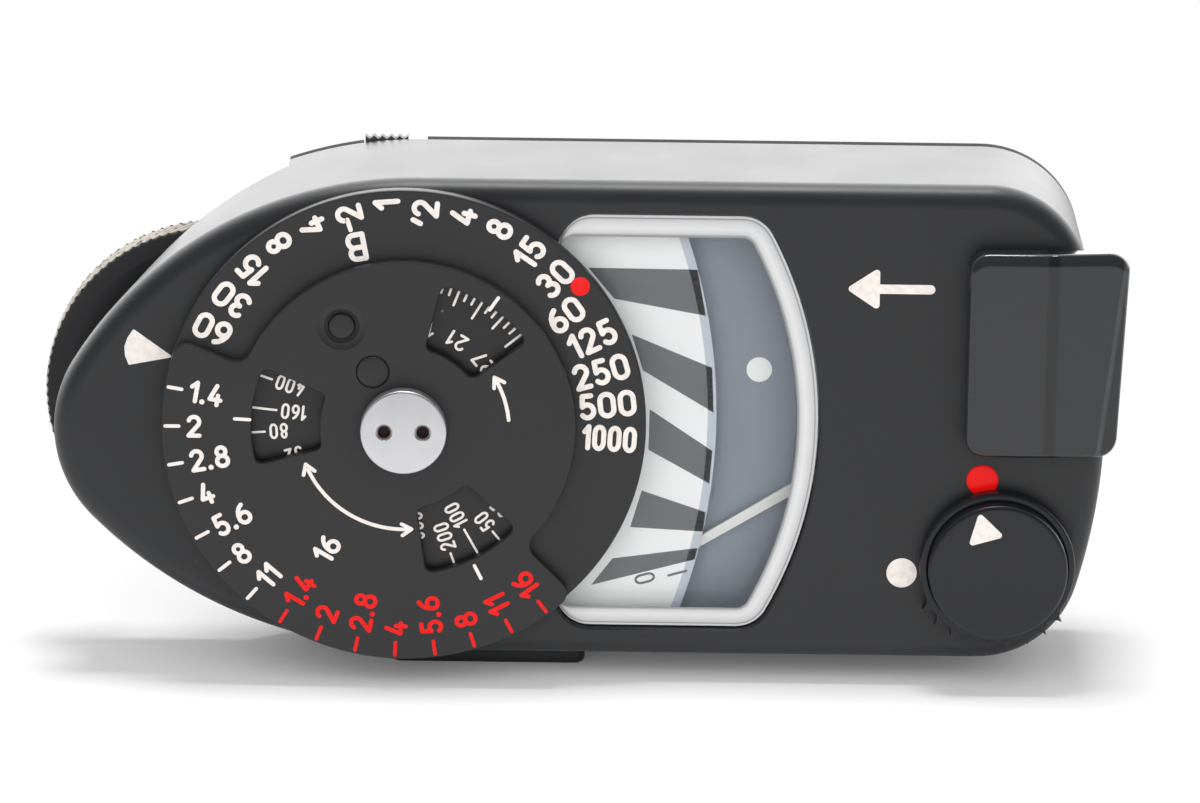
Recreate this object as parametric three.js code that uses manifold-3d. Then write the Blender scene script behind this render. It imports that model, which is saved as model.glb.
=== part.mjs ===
// A light meter that slides into a camera's accessory shoe and couples to the shutter dial.
// Millimetres. +X runs to the measuring switch, +Y to the rear wall and +Z to the dial.
// The origin is the centre of the shoe foot's underside.

import * as THREE from "three";
import { mergeVertices } from "three/addons/utils/BufferGeometryUtils.js";
import Module from "manifold-3d";

const wasm = await Module();
wasm.setup();

// Driving sizes. A reach is measured from the dial's axis.
const bodyWidth = 32.8;
const housingHeight = 13;
const wall = 1.1;
const footReach = 24;
const noseReach = 23.5;
const windowReach = 27.7;
const pivotReach = 34.5;
const endReach = 46.8;
const dialInset = 0.3; // from the housing's side to the dial's rim
const wheelRadius = 11.5;
const cellRadius = 5.8;
const cellHeight = 5.4;

// Clearances.
const fit = 0.3; // round a fixed piece
const seat = 0.1; // under a piece that rests on a flat face
const running = 0.12; // round a shaft or a slider
const overrun = 1; // past both faces of a cut
const weldReach = 1e-4; // vertices closer than this are one

// Facets of a full turn.
const largeSides = 72;
const roundSides = 28;
const smallSides = 12;
const turn = 2 * Math.PI;

// Gear pair that drives the dial from the coupling wheel.
const gear = {
  module: 0.37,
  pinionTeeth: 20,
  dialTeeth: 50,
  thickness: 1.1,
  tipShare: 0.8,
  rootShare: 1.25,
  toothRootShare: 0.23,
  toothTipShare: 0.09,
};

const foot = {
  width: 18.6,
  length: 18,
  plate: 2,
  neckWidth: 12.4,
  neckLength: 16,
  neckHeight: 1.6,
  corner: 1.2,
  screwShare: 0.25,
};
const base = { thickness: 1, noseCut: 4.75, wheelGap: 0.5, postRadius: 1.2, postHeight: 0.9 };
const cover = {
  top: 1.2,
  edge: 1.4,
  edgeSteps: 4,
  tipRadius: 8.8,
  tipOffset: 1.1,
  endRadius: 41,
  corner: 6.9,
  straightFrom: 0.7,
};

// The nose's wall ends higher and higher towards the tip: shares of the way there and of the wall's height.
const visorShares = [
  [0, 0.17],
  [0.42, 0.57],
  [0.57, 0.83],
  [0.7, 0.98],
];

// Levels and places that follow from the driving sizes.
const dialX = -footReach;
const noseX = dialX - noseReach;
const endX = dialX + endReach;
const pivotX = dialX + pivotReach;
const gearDistance = (gear.module * (gear.pinionTeeth + gear.dialTeeth)) / 2;
const wheelX = dialX - gearDistance;
const halfWidth = bodyWidth / 2;
const dialRadius = halfWidth - dialInset;
const baseBottom = foot.plate + foot.neckHeight;
const baseTop = baseBottom + base.thickness;
const coverBottom = baseTop + seat;
const coverTop = baseBottom + housingHeight;
const coverInside = coverTop - cover.top;
const pocketRadius = wheelRadius + base.wheelGap;

// Finishes.
const charcoal = { color: 0x424446, roughness: 0.55, metalness: 0.3 };
const black = { color: 0x1d1e20, roughness: 0.35, metalness: 0.1 };
const discBlack = { color: 0x3f4042, roughness: 0.6, metalness: 0.3 };
const satinSteel = { color: 0xe1e1e1, roughness: 0.35, metalness: 0.9 };
const steel = { color: 0x9a9da0, roughness: 0.4, metalness: 0.9 };
const brass = { color: 0xb58f4a, roughness: 0.4, metalness: 0.9 };
const copper = { color: 0xa8613a, roughness: 0.45, metalness: 0.8 };
const slate = { color: 0x8a929d, roughness: 0.6, metalness: 0 };
const white = { color: 0xeae6e2, roughness: 0.5, metalness: 0 };
const glass = { color: 0xf2f5f6, roughness: 0.05, metalness: 0, transparent: true, opacity: 0.35 };
const laminate = { color: 0x6d5a33, roughness: 0.7, metalness: 0 };

// A geometry as a solid, and back again.
function solidFrom(geometry) {
  const bare = geometry.clone();
  bare.deleteAttribute("normal");
  bare.deleteAttribute("uv");
  const merged = mergeVertices(bare, weldReach);
  return new wasm.Manifold(
    new wasm.Mesh({
      numProp: 3,
      vertProperties: merged.attributes.position.array,
      triVerts: new Uint32Array(merged.index.array),
    }),
  );
}

function geometryFrom(solid) {
  const mesh = solid.getMesh();
  const geometry = new THREE.BufferGeometry();
  geometry.setAttribute("position", new THREE.BufferAttribute(new Float32Array(mesh.vertProperties), 3));
  geometry.setIndex(new THREE.BufferAttribute(new Uint32Array(mesh.triVerts), 1));
  geometry.computeVertexNormals();
  return geometry;
}

const join = (first, ...others) => others.reduce((sum, next) => sum.add(next), first);
const cut = (first, ...others) => others.reduce((rest, next) => rest.subtract(next), first);

// A box from its low and high corners.
function block([x0, y0, z0], [x1, y1, z1]) {
  const geometry = new THREE.BoxGeometry(x1 - x0, y1 - y0, z1 - z0);
  geometry.translate((x0 + x1) / 2, (y0 + y1) / 2, (z0 + z1) / 2);
  return solidFrom(geometry);
}

// A round bar along Z.
function rod(x, y, radius, z0, z1, sides = roundSides) {
  const geometry = new THREE.CylinderGeometry(radius, radius, z1 - z0, sides);
  geometry.rotateX(turn / 4).translate(x, y, (z0 + z1) / 2);
  return solidFrom(geometry);
}

// A turned piece about the Z axis, from its [radius, height] profile, bottom first.
function turned(profile, sides = roundSides) {
  const points = profile.map(([radius, z]) => new THREE.Vector2(radius, z));
  return solidFrom(new THREE.LatheGeometry(points, sides).rotateX(turn / 4));
}

// A flat plate of any outline.
function plate(points, z0, z1) {
  const shape = new THREE.Shape(points);
  const geometry = new THREE.ExtrudeGeometry(shape, { depth: z1 - z0, bevelEnabled: false });
  return solidFrom(geometry.translate(0, 0, z0));
}

// A solid through rings of equal point counts, closed at both ends. Each ring is [points, height].
function lofted(rings) {
  const count = rings[0][0].length;
  const positions = rings.flatMap(([points, z]) => points.flatMap((p) => [p.x, p.y, z]));
  const caps = THREE.ShapeUtils.triangulateShape(rings[0][0], []);
  const last = (rings.length - 1) * count;
  const index = caps.flatMap(([a, b, c]) => [c, b, a]);
  index.push(...caps.flatMap(([a, b, c]) => [last + a, last + b, last + c]));
  for (let ring = 0; ring < last; ring += count)
    for (let i = 0; i < count; i++) {
      const next = (i + 1) % count;
      index.push(ring + i, ring + next, ring + count + next);
      index.push(ring + i, ring + count + next, ring + count + i);
    }
  const geometry = new THREE.BufferGeometry();
  geometry.setAttribute("position", new THREE.Float32BufferAttribute(positions, 3));
  geometry.setIndex(index);
  return solidFrom(geometry);
}

function arc(x, y, radius, from, to, steps) {
  return Array.from({ length: steps + 1 }, (_, i) => {
    const angle = from + ((to - from) * i) / steps;
    return new THREE.Vector2(x + radius * Math.cos(angle), y + radius * Math.sin(angle));
  });
}

const radians = THREE.MathUtils.degToRad;

function polar(radius, degrees) {
  const angle = radians(degrees);
  return [radius * Math.cos(angle), radius * Math.sin(angle)];
}

// Points are dropped where they fall on the one before.
function distinct(points) {
  return points.filter((p, i) => p.distanceTo(points.at(i - 1)) > weldReach);
}

function roundedRectangle(x0, x1, y0, y1, radius, steps = 4) {
  return distinct([
    ...arc(x1 - radius, y0 + radius, radius, -turn / 4, 0, steps),
    ...arc(x1 - radius, y1 - radius, radius, 0, turn / 4, steps),
    ...arc(x0 + radius, y1 - radius, radius, turn / 4, turn / 2, steps),
    ...arc(x0 + radius, y0 + radius, radius, turn / 2, (3 * turn) / 4, steps),
  ]);
}

// A plan from its two halves. The lower half is given as its mirror image, and both start at the right end.
function closed(upper, lower = upper) {
  const below = lower.map((p) => new THREE.Vector2(p.x, -p.y)).reverse();
  return distinct([...upper, ...below]);
}

// The housing's plan, moved inwards: a bowed end, two corners, straight sides and an egg-shaped nose,
// whose tip lies in front of the middle.
function housingHalf(inset, tipY) {
  const straightX = dialX + cover.straightFrom;
  const run = straightX - noseX - cover.tipRadius;
  const rise = halfWidth - tipY;
  const sideRadius = (run ** 2 + rise ** 2 - cover.tipRadius ** 2) / (2 * (rise - cover.tipRadius));
  const sideY = halfWidth - sideRadius;
  const tipAngle = Math.atan2(tipY - sideY, -run);
  const bowX = endX - cover.endRadius;
  const cornerY = halfWidth - cover.corner;
  const cornerX = bowX + Math.sqrt((cover.endRadius - cover.corner) ** 2 - cornerY ** 2);
  const cornerAngle = Math.atan2(cornerY, cornerX - bowX);
  return [
    ...arc(bowX, 0, cover.endRadius - inset, 0, cornerAngle, 5),
    ...arc(cornerX, cornerY, cover.corner - inset, cornerAngle, turn / 4, 6),
    ...arc(straightX, sideY, sideRadius - inset, turn / 4, tipAngle, 10),
    ...arc(noseX + cover.tipRadius, tipY, cover.tipRadius - inset, tipAngle, turn / 2, 8),
  ];
}

const housingPlan = (inset) =>
  closed(housingHalf(inset, -cover.tipOffset), housingHalf(inset, cover.tipOffset));

// The scale window's plan, moved inwards: its far edge is round about the dial's axis.
const scaleWindow = {
  nearReach: 10.1,
  halfWidth: 14.35,
  corner: 2.4,
  bevel: 1.2,
  bevelDrop: 0.3,
  flange: 0.7,
};

function windowPlan(inset) {
  const corner = scaleWindow.corner;
  const cornerY = scaleWindow.halfWidth - corner;
  const cornerX = Math.sqrt((windowReach - corner) ** 2 - cornerY ** 2);
  const cornerAngle = Math.atan2(cornerY, cornerX);
  const nearX = dialX + scaleWindow.nearReach;
  return closed([
    ...arc(dialX, 0, windowReach - inset, 0, cornerAngle, 6),
    ...arc(dialX + cornerX, cornerY, corner - inset, cornerAngle, turn / 4, 4),
    ...arc(nearX + corner, cornerY, corner - inset, turn / 4, turn / 2, 4),
  ]);
}

const part = new THREE.Group();

// Adds a named piece to a group, in that group's own frame.
function addPiece(group, name, solid, finish) {
  const mesh = new THREE.Mesh(geometryFrom(solid), new THREE.MeshStandardMaterial(finish));
  mesh.name = name;
  group.add(mesh);
}

function groupAt(x, y, z = 0) {
  const group = new THREE.Group();
  group.position.set(x, y, z);
  part.add(group);
  return group;
}

// Places of the switch and the knob, measured from the far end and the middle.
const slider = {
  length: 10.4,
  overhang: 0.9,
  low: -1.6,
  high: 12.4,
  height: 1.9,
  corner: 1.3,
  crease: 4.8,
  drop: 0.6,
  edge: 0.4,
  travel: 3,
  postLength: 2,
  postWidth: 2.6,
  postInset: 6,
};
const knob = { inset: 7.05, offset: 9.4, rim: 5.2, rimHeight: 1.1, face: 4.6, height: 2.3, shaft: 1.3 };
const knobX = endX - knob.inset;
const knobY = -knob.offset;
const postX = endX - slider.postInset;
const postY = (slider.low + slider.high) / 2 + slider.postWidth / 2;

// Cover screws, and the bosses that they enter.
const screw = {
  shank: 0.55,
  head: 1.15,
  headDepth: 0.6,
  slot: 0.3,
  slotDepth: 0.3,
  boss: 1.6,
  length: 5,
};
const bossInset = 1.4; // from the inside of the side wall to a boss's axis
const sideBossY = halfWidth - wall - bossInset;
const sideBossReach = 16.5;
const endBoss = { inset: 3.8, offset: 3 };
const noseBoss = { reach: 3, inset: 0.6 };
const coverScrews = [
  [endX - endBoss.inset, -endBoss.offset, coverInside],
  [dialX + sideBossReach, sideBossY, 0],
  [dialX + sideBossReach, -sideBossY, 0],
  [dialX - noseBoss.reach, -sideBossY + noseBoss.inset, coverInside],
];

// The needle's plane and what lies round it, as heights under the cover's inside.
const scalePlate = { thickness: 0.3, drop: 2.5, grow: 0.5, earWidth: 6, earReach: 31.7 };
const scalePlateTop = coverInside - scalePlate.drop + scalePlate.thickness;
const scalePlateBottom = scalePlateTop - scalePlate.thickness;
const sideBossTop = scalePlateBottom - seat;

// Photocell in the front wall.
const photocell = {
  reach: 5.6,
  hoodWidth: 13.2,
  hoodHeight: 7.6,
  drop: 3.6,
  hoodDepth: 1.6,
  corner: 0.8,
  tubeWidth: 9.6,
  tubeHeight: 6.4,
  tubeDepth: 5.2,
  mouthWidth: 7.6,
  mouthHeight: 4.6,
  cellRadius: 2.1,
  cellDepth: 1.6,
  windowDepth: 0.8,
  windowSetBack: 0.4,
};
const photocellX = dialX + photocell.reach;
const photocellZ = coverTop - photocell.drop - photocell.hoodHeight / 2;

// The nose plate closes the nose over the coupling wheel.
const nosePlate = { gapOverWheel: 0.3, thickness: 0.6, skirt: 0.8, lug: 2.4 };
const wheel = {
  lift: 4.4,
  height: 2.2,
  hubInset: 0.2,
  rim: 1.3,
  web: 1.1,
  hub: 3,
  shaft: 1.3,
  flutes: 60,
  fluteDepth: 0.22,
};
const wheelBottom = baseBottom + wheel.lift;
const wheelTop = wheelBottom + wheel.height;
const nosePlateBottom = wheelTop + nosePlate.gapOverWheel;
const nosePlateTop = nosePlateBottom + nosePlate.thickness;

// Key that shows the battery's state, in the rear edge of the base plate.
const key = {
  reach: 3.1,
  length: 2.9,
  travel: 1.2,
  proud: 0.5,
  depth: 5,
  thickness: 0.7,
  ribs: 5,
  ribDepth: 0.25,
  innerDepth: 2.2,
  innerHeight: 0.6,
};
const keyX = dialX - key.reach;
const keyRearY = halfWidth - key.proud + fit / 2;

// Battery compartment beside the foot.
const battery = {
  offset: 8,
  reach: 7.5,
  wall: 0.8,
  lidThickness: 0.95,
  coinSlot: 1.4,
  coinSlotDepth: 0.5,
};
const batteryX = dialX + battery.reach;
const batteryY = battery.offset;
const chamberInner = cellRadius + fit;
const chamberOuter = chamberInner + battery.wall;
const lidRadius = chamberOuter - fit;
const cellBottom = baseTop + 2 * seat + fit;
const cellTop = cellBottom + cellHeight;
const contact = { thickness: 0.25, radiusShare: 0.7 };
const chamberTop = cellTop + 2 * seat + contact.thickness + seat + battery.wall / 2;

const spindle = {
  radius: 1.5,
  foot: 0.8,
  bushWall: 1.5,
  bushFlange: 4.2,
  bushFlangeHeight: 0.5,
  bushDrop: 1.9,
};
const gearBottom = chamberTop + fit;
const gearTop = gearBottom + gear.thickness;

function addHousing() {
  // Rings step inwards over the rounded top edge.
  const rings = [[housingPlan(0), coverBottom]];
  for (let step = 0; step <= cover.edgeSteps; step++) {
    const angle = ((turn / 4) * step) / cover.edgeSteps;
    const inset = cover.edge * (1 - Math.cos(angle));
    rings.push([housingPlan(inset), coverTop - cover.edge * (1 - Math.sin(angle))]);
  }
  const hollow = plate(housingPlan(wall), coverBottom - overrun, coverInside);
  const noseCutX = wheelX + base.noseCut;
  const low = [noseX - overrun, -bodyWidth, coverBottom - overrun];
  const visorX = (share) => noseCutX + share * (noseX - noseCutX);
  const visorZ = (share) => coverBottom + share * (coverTop - cover.edge - coverBottom);
  const visorTop = visorZ(visorShares.at(-1)[1]);
  const visor = [
    [noseCutX, coverBottom - overrun],
    ...visorShares.map(([along, up]) => [visorX(along), visorZ(up)]),
    [noseX - overrun, visorTop],
    [noseX - overrun, coverBottom - overrun],
  ].map(([x, z]) => new THREE.Vector2(x, z));
  const noseOpening = plate(visor.reverse(), -bodyWidth, bodyWidth).rotate([90, 0, 0]);
  const wheelRelief = rod(
    wheelX,
    0,
    wheelRadius + fit,
    coverBottom - overrun,
    nosePlateBottom,
    largeSides,
  );
  let shell = cut(lofted(rings), hollow, noseOpening, wheelRelief);

  for (const [x, y, top] of coverScrews) {
    const bossTop = top ? top + seat : sideBossTop;
    shell = join(shell, rod(x, y, screw.boss, coverBottom, bossTop, smallSides));
  }
  const bossBottom = gearTop + fit + seat;
  const wheelBoss = rod(wheelX, 0, wheel.shaft + wall, bossBottom, coverInside + seat, smallSides);
  shell = join(shell, wheelBoss);
  const hole = (x, y, radius, z0, z1) => rod(x, y, radius, z0, z1, smallSides);
  const screwTop = coverBottom + screw.length;
  for (const [x, y] of coverScrews)
    shell = cut(shell, hole(x, y, screw.shank + running, coverBottom - overrun, screwTop));
  const roofLow = coverInside - overrun;
  const roofHigh = coverTop + overrun;
  const bushHole = spindle.radius + running + spindle.bushWall + running;
  const postHalf = slider.postWidth / 2 + running;
  const tubeHalf = photocell.tubeWidth / 2 + running;
  const tubeRise = photocell.tubeHeight / 2 + running;
  shell = cut(
    shell,
    plate(windowPlan(0), roofLow, roofHigh),
    rod(dialX, 0, bushHole, roofLow, roofHigh),
    rod(knobX, knobY, knob.shaft + running, roofLow, roofHigh),
    rod(wheelX, 0, spindle.foot + running, gearTop, coverInside - seat, smallSides),
    block(
      [postX - slider.travel - running, postY - postHalf, roofLow],
      [postX + slider.postLength + running, postY + postHalf, roofHigh],
    ),
    block(
      [photocellX - tubeHalf, -halfWidth - overrun, photocellZ - tubeRise],
      [photocellX + tubeHalf, -halfWidth + wall + overrun, photocellZ + tubeRise],
    ),
  );
  addPiece(part, "top_cover", shell, charcoal);

  // Base plate, open round the coupling wheel.
  let floor = plate(housingPlan(0), baseBottom, baseTop);
  floor = cut(
    floor,
    rod(wheelX, 0, pocketRadius, baseBottom - overrun, baseTop + overrun, largeSides),
    block([noseX - overrun, -bodyWidth, baseBottom - overrun], [noseCutX, bodyWidth, baseTop + overrun]),
    rod(batteryX, batteryY, lidRadius + running, baseBottom - overrun, baseTop + overrun),
    block(
      [keyX - running, keyRearY + key.proud - key.depth - running, baseBottom - overrun],
      [keyX + key.length + key.travel + running, halfWidth + overrun, baseTop + overrun],
    ),
  );
  const post = (y) => rod(board.postX, y, base.postRadius, baseTop - seat, board.bottom - seat, smallSides);
  floor = join(floor, post(-board.postY), post(board.postY));
  for (const [x, y] of coverScrews) floor = cut(floor, screwHole(x, y, baseBottom));
  const footHole = (y) => hole(0, y, screw.shank + running, baseBottom - overrun, baseTop + overrun);
  floor = cut(floor, footHole(-foot.screwOffset), footHole(foot.screwOffset));
  addPiece(part, "base_plate", floor, black);

  // Nose plate with the skirt that walls the wheel's pocket, the wall that closes the nose over it, and
  // the lug that carries the dial spindle's foot.
  const skirtRadius = pocketRadius + nosePlate.skirt;
  const innerPlan = housingPlan(wall + fit / 2);
  const inside = plate(innerPlan, coverBottom, nosePlateTop);
  const noseWall = cut(
    plate(innerPlan, nosePlateBottom, coverInside - seat),
    plate(housingPlan(wall + fit / 2 + nosePlate.skirt), nosePlateBottom - overrun, coverTop),
    block([noseCutX + fit, -bodyWidth, nosePlateBottom - overrun], [endX + overrun, bodyWidth, coverTop]),
  );
  const noseFloor = cut(
    inside,
    block([noseX - overrun, -bodyWidth, coverBottom - overrun], [endX + overrun, bodyWidth, nosePlateBottom]),
    block([noseCutX + fit, -bodyWidth, coverBottom - overrun], [endX + overrun, bodyWidth, coverTop]),
  );
  const lug = join(
    rod(dialX, 0, nosePlate.lug, nosePlateBottom, nosePlateTop),
    block([noseCutX, -nosePlate.lug, nosePlateBottom], [dialX, nosePlate.lug, nosePlateTop]),
  );
  const drum = rod(wheelX, 0, skirtRadius, coverBottom, nosePlateTop, largeSides);
  const pocket = rod(wheelX, 0, pocketRadius, coverBottom - overrun, nosePlateBottom, largeSides);
  const plateSolid = cut(
    join(drum.intersect(inside), noseFloor, noseWall, lug),
    pocket,
    block(low, [noseCutX + fit, bodyWidth, nosePlateBottom]),
    rod(wheelX, 0, wheelBush.outer + running, nosePlateBottom - overrun, nosePlateTop + overrun),
    rod(dialX, 0, spindle.foot + running, nosePlateBottom - overrun, nosePlateTop + overrun, smallSides),
  );
  addPiece(part, "nose_plate", plateSolid, black);
}

// A countersunk screw, head down, and the hole that it goes through.
function screwProfile(gap) {
  return [
    [0, -gap],
    [screw.head + gap, -gap],
    [screw.shank + gap, screw.headDepth + gap],
  ];
}

function screwHole(x, y, z) {
  const mouth = screwProfile(running);
  const top = screw.headDepth + base.thickness + foot.plate + overrun;
  mouth.push([screw.shank + running, top], [0, top]);
  mouth[0][1] = -overrun;
  mouth[1][1] = -overrun;
  mouth.splice(2, 0, [screw.head + running, 0]);
  return turned(mouth, smallSides).translate(x, y, z);
}

function addScrew(name, x, y, z, length) {
  const profile = [...screwProfile(0), [screw.shank, length], [0, length]];
  const slotReach = screw.head + overrun;
  const slot = block([-slotReach, -screw.slot / 2, -overrun], [slotReach, screw.slot / 2, screw.slotDepth]);
  addPiece(groupAt(x, y, z), name, cut(turned(profile, smallSides), slot), steel);
}

foot.screwOffset = foot.neckLength * foot.screwShare;

function addFoot() {
  const slab = (width, length, z0, z1) =>
    plate(roundedRectangle(-width / 2, width / 2, -length / 2, length / 2, foot.corner), z0, z1);
  let solid = join(
    slab(foot.width, foot.length, 0, foot.plate),
    slab(foot.neckWidth, foot.neckLength, foot.plate - seat, baseBottom - seat),
  );
  for (const side of [-1, 1]) solid = cut(solid, screwHole(0, side * foot.screwOffset, 0));
  addPiece(part, "shoe_foot", solid, satinSteel);
  [-1, 1].forEach((side, i) =>
    addScrew("foot_screw_" + (i + 1), 0, side * foot.screwOffset, 0, baseTop - seat),
  );
  coverScrews.forEach(([x, y], i) =>
    addScrew("cover_screw_" + (i + 1), x, y, baseBottom, screw.length - seat),
  );
}

// Coupling wheel under the nose, its shaft, and the pin that enters the camera's shutter dial.
const wheelBush = { wall: 1, flange: 3.4, flangeHeight: 0.3, height: 0.5 };
wheelBush.outer = wheel.shaft + running + wheelBush.wall;
const pin = { radius: 0.8, reach: 8, proud: 2.2, travel: 1 };
const pinSpring = { radius: 0.5, wire: 0.12, turns: 3, steps: 8, sides: 5 };
pinSpring.closed = (pinSpring.turns + 1) * pinSpring.wire;

function addCouplingWheel() {
  const group = groupAt(wheelX, 0);
  const count = wheel.flutes * 2;
  const rimPlan = Array.from({ length: count }, (_, i) => {
    const [x, y] = polar(wheelRadius - (i % 2) * wheel.fluteDepth, (i * 360) / count);
    return new THREE.Vector2(x, y);
  });
  const webBottom = wheelTop - wheel.web;
  let solid = cut(
    plate(rimPlan, wheelBottom, wheelTop),
    rod(0, 0, wheelRadius - wheel.rim, wheelBottom - overrun, webBottom, largeSides),
  );
  solid = join(
    solid,
    rod(0, 0, wheel.hub, wheelBottom + wheel.hubInset, wheelTop - seat),
    rod(-pin.reach, 0, pin.radius + wall, wheelBottom + wheel.hubInset, wheelTop - seat, smallSides),
  );
  solid = cut(
    solid,
    rod(0, 0, wheel.shaft + running, wheelBottom - overrun, wheelTop + overrun),
    rod(-pin.reach, 0, pin.radius + running, wheelBottom - overrun, wheelTop - fit, smallSides),
  );
  addPiece(group, "coupling_wheel", solid, black);

  // The shaft carries the pinion and runs in the bush below and in the cover's boss above.
  const shaft = turned([
    [0, wheelBottom + wheel.hubInset],
    [wheel.shaft, wheelBottom + wheel.hubInset],
    [wheel.shaft, gearTop + fit],
    [spindle.foot, gearTop + fit],
    [spindle.foot, coverInside - fit],
    [0, coverInside - fit],
  ]);
  addPiece(group, "wheel_shaft", shaft, steel);

  const pinion = cut(
    plate(gearPlan(gear.pinionTeeth, 0.5), gearBottom, gearTop),
    rod(0, 0, wheel.shaft + running, gearBottom - overrun, gearTop + overrun),
  );
  addPiece(group, "coupling_pinion", pinion, brass);

  const bush = turned(
    [
      [wheel.shaft + running, nosePlateBottom + seat],
      [wheelBush.outer, nosePlateBottom + seat],
      [wheelBush.outer, nosePlateTop + seat],
      [wheelBush.flange, nosePlateTop + seat],
      [wheelBush.flange, nosePlateTop + seat + wheelBush.flangeHeight],
      [wheelBush.outer, nosePlateTop + seat + wheelBush.flangeHeight],
      [wheelBush.outer, nosePlateTop + wheelBush.height],
      [wheel.shaft + running, nosePlateTop + wheelBush.height],
      [wheel.shaft + running, nosePlateBottom + seat],
    ],
  );
  addPiece(group, "wheel_bush", bush, brass);

  const pinTop = wheelTop - fit - pin.travel - pinSpring.closed;
  const pinSolid = turned(
    [
      [0, wheelBottom - pin.proud],
      [pin.radius / 2, wheelBottom - pin.proud],
      [pin.radius, wheelBottom - pin.proud + pin.radius / 2],
      [pin.radius, pinTop],
      [0, pinTop],
    ],
    smallSides,
  ).translate(-pin.reach, 0, 0);
  addPiece(group, "coupling_pin", pinSolid, steel);

  const springBottom = pinTop + seat + pinSpring.wire;
  const springTop = wheelTop - fit - seat - pinSpring.wire;
  addPiece(group, "pin_spring", coil(-pin.reach, 0, springBottom, springTop, pinSpring), steel);
}

// A coil spring along Z.
class Helix extends THREE.Curve {
  constructor(radius, z0, z1, turns) {
    super();
    Object.assign(this, { radius, z0, z1, turns });
  }
  getPoint(t) {
    const angle = turn * this.turns * t;
    const z = this.z0 + (this.z1 - this.z0) * t;
    return new THREE.Vector3(this.radius * Math.cos(angle), this.radius * Math.sin(angle), z);
  }
}

function coil(x, y, z0, z1, spring) {
  const section = new THREE.Shape(arc(0, 0, spring.wire, 0, turn, spring.sides).slice(0, -1));
  const geometry = new THREE.ExtrudeGeometry(section, {
    steps: spring.turns * spring.steps,
    extrudePath: new Helix(spring.radius, z0, z1, spring.turns),
    bevelEnabled: false,
  });
  return solidFrom(geometry.translate(x, y, 0));
}

// A gear's plan. The first tooth is turned on by a part of a tooth's pitch.
function gearPlan(teeth, firstTooth) {
  const pitchRadius = (gear.module * teeth) / 2;
  const tip = pitchRadius + gear.module * gear.tipShare;
  const root = pitchRadius - gear.module * gear.rootShare;
  const pitch = 360 / teeth;
  const plan = [];
  for (let tooth = 0; tooth < teeth; tooth++) {
    const middle = (tooth + firstTooth) * pitch;
    plan.push(
      polar(root, middle - pitch * gear.toothRootShare),
      polar(tip, middle - pitch * gear.toothTipShare),
      polar(tip, middle + pitch * gear.toothTipShare),
      polar(root, middle + pitch * gear.toothRootShare),
    );
  }
  return plan.map(([x, y]) => new THREE.Vector2(x, y));
}

// Dial stack on its spindle.
const dial = {
  gap: 0.2,
  thickness: 0.86,
  recess: 10.8,
  floor: 0.45,
  filmThickness: 0.25,
  apertureGap: 0.1,
  apertureThickness: 0.75,
  small: 11.4,
  from: 158.7,
  to: 315,
  fillet: 1,
  rimCorner: 1,
};
const shutterBottom = coverTop + dial.gap;
const shutterTop = shutterBottom + dial.thickness;
const filmBottom = shutterBottom + dial.floor + seat;
const filmTop = filmBottom + dial.filmThickness;
const apertureBottom = shutterTop + dial.apertureGap;
const apertureTop = apertureBottom + dial.apertureThickness;
const readingWindow = {
  inner: 5.6,
  outer: 10.15,
  spanDegrees: 39,
  atDegrees: [175.9, 56.4, -61.8],
  steps: 6,
};
const nut = {
  radius: 2.87,
  height: 0.95,
  hole: 0.43,
  spacing: 2.56,
  holeDepth: 0.6,
  stem: 0.9,
  stemLength: 1.6,
  edge: 0.12,
};
const washer = { outer: 2.5, thickness: 0.2, depth: 0.3 };
const lockButton = { atDegrees: 120.8, reach: 8.1, radius: 0.85, well: 1.27, wellDepth: 0.2, travel: 0.2 };
const rivet = { atDegrees: 118.2, reach: 4.4, radius: 1.07 };

// The aperture disc's plan: full radius over its number sector, stepped in elsewhere.
function aperturePlan() {
  const swing = Math.asin(dial.fillet / (dial.small + dial.fillet));
  const rimSwing = Math.asin(dial.rimCorner / (dialRadius - dial.rimCorner));
  const from = radians(dial.from);
  const to = radians(dial.to);
  const bend = (angle, start, end) => {
    const reach = dial.small + dial.fillet;
    return arc(reach * Math.cos(angle), reach * Math.sin(angle), dial.fillet, start, end, 4);
  };
  const lip = (angle, a0, a1) => {
    const reach = dialRadius - dial.rimCorner;
    return arc(reach * Math.cos(angle), reach * Math.sin(angle), dial.rimCorner, a0, a1, 3);
  };
  return distinct([
    ...arc(0, 0, dial.small, to + swing - turn, from - swing, 40),
    ...bend(from - swing, from - swing + turn / 2, from + turn / 4),
    ...lip(from + rimSwing, from - turn / 4, from + rimSwing),
    ...arc(0, 0, dialRadius, from + rimSwing, to - rimSwing, 44),
    ...lip(to - rimSwing, to - rimSwing, to + turn / 4),
    ...bend(to + swing, to - turn / 4, to + swing - turn / 2),
  ]);
}

function sector(inner, outer, atDegrees, spanDegrees, steps, z0, z1) {
  const from = radians(atDegrees - spanDegrees / 2);
  const to = radians(atDegrees + spanDegrees / 2);
  const plan = [...arc(0, 0, outer, from, to, steps), ...arc(0, 0, inner, to, from, steps)];
  return plate(plan, z0, z1);
}

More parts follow.
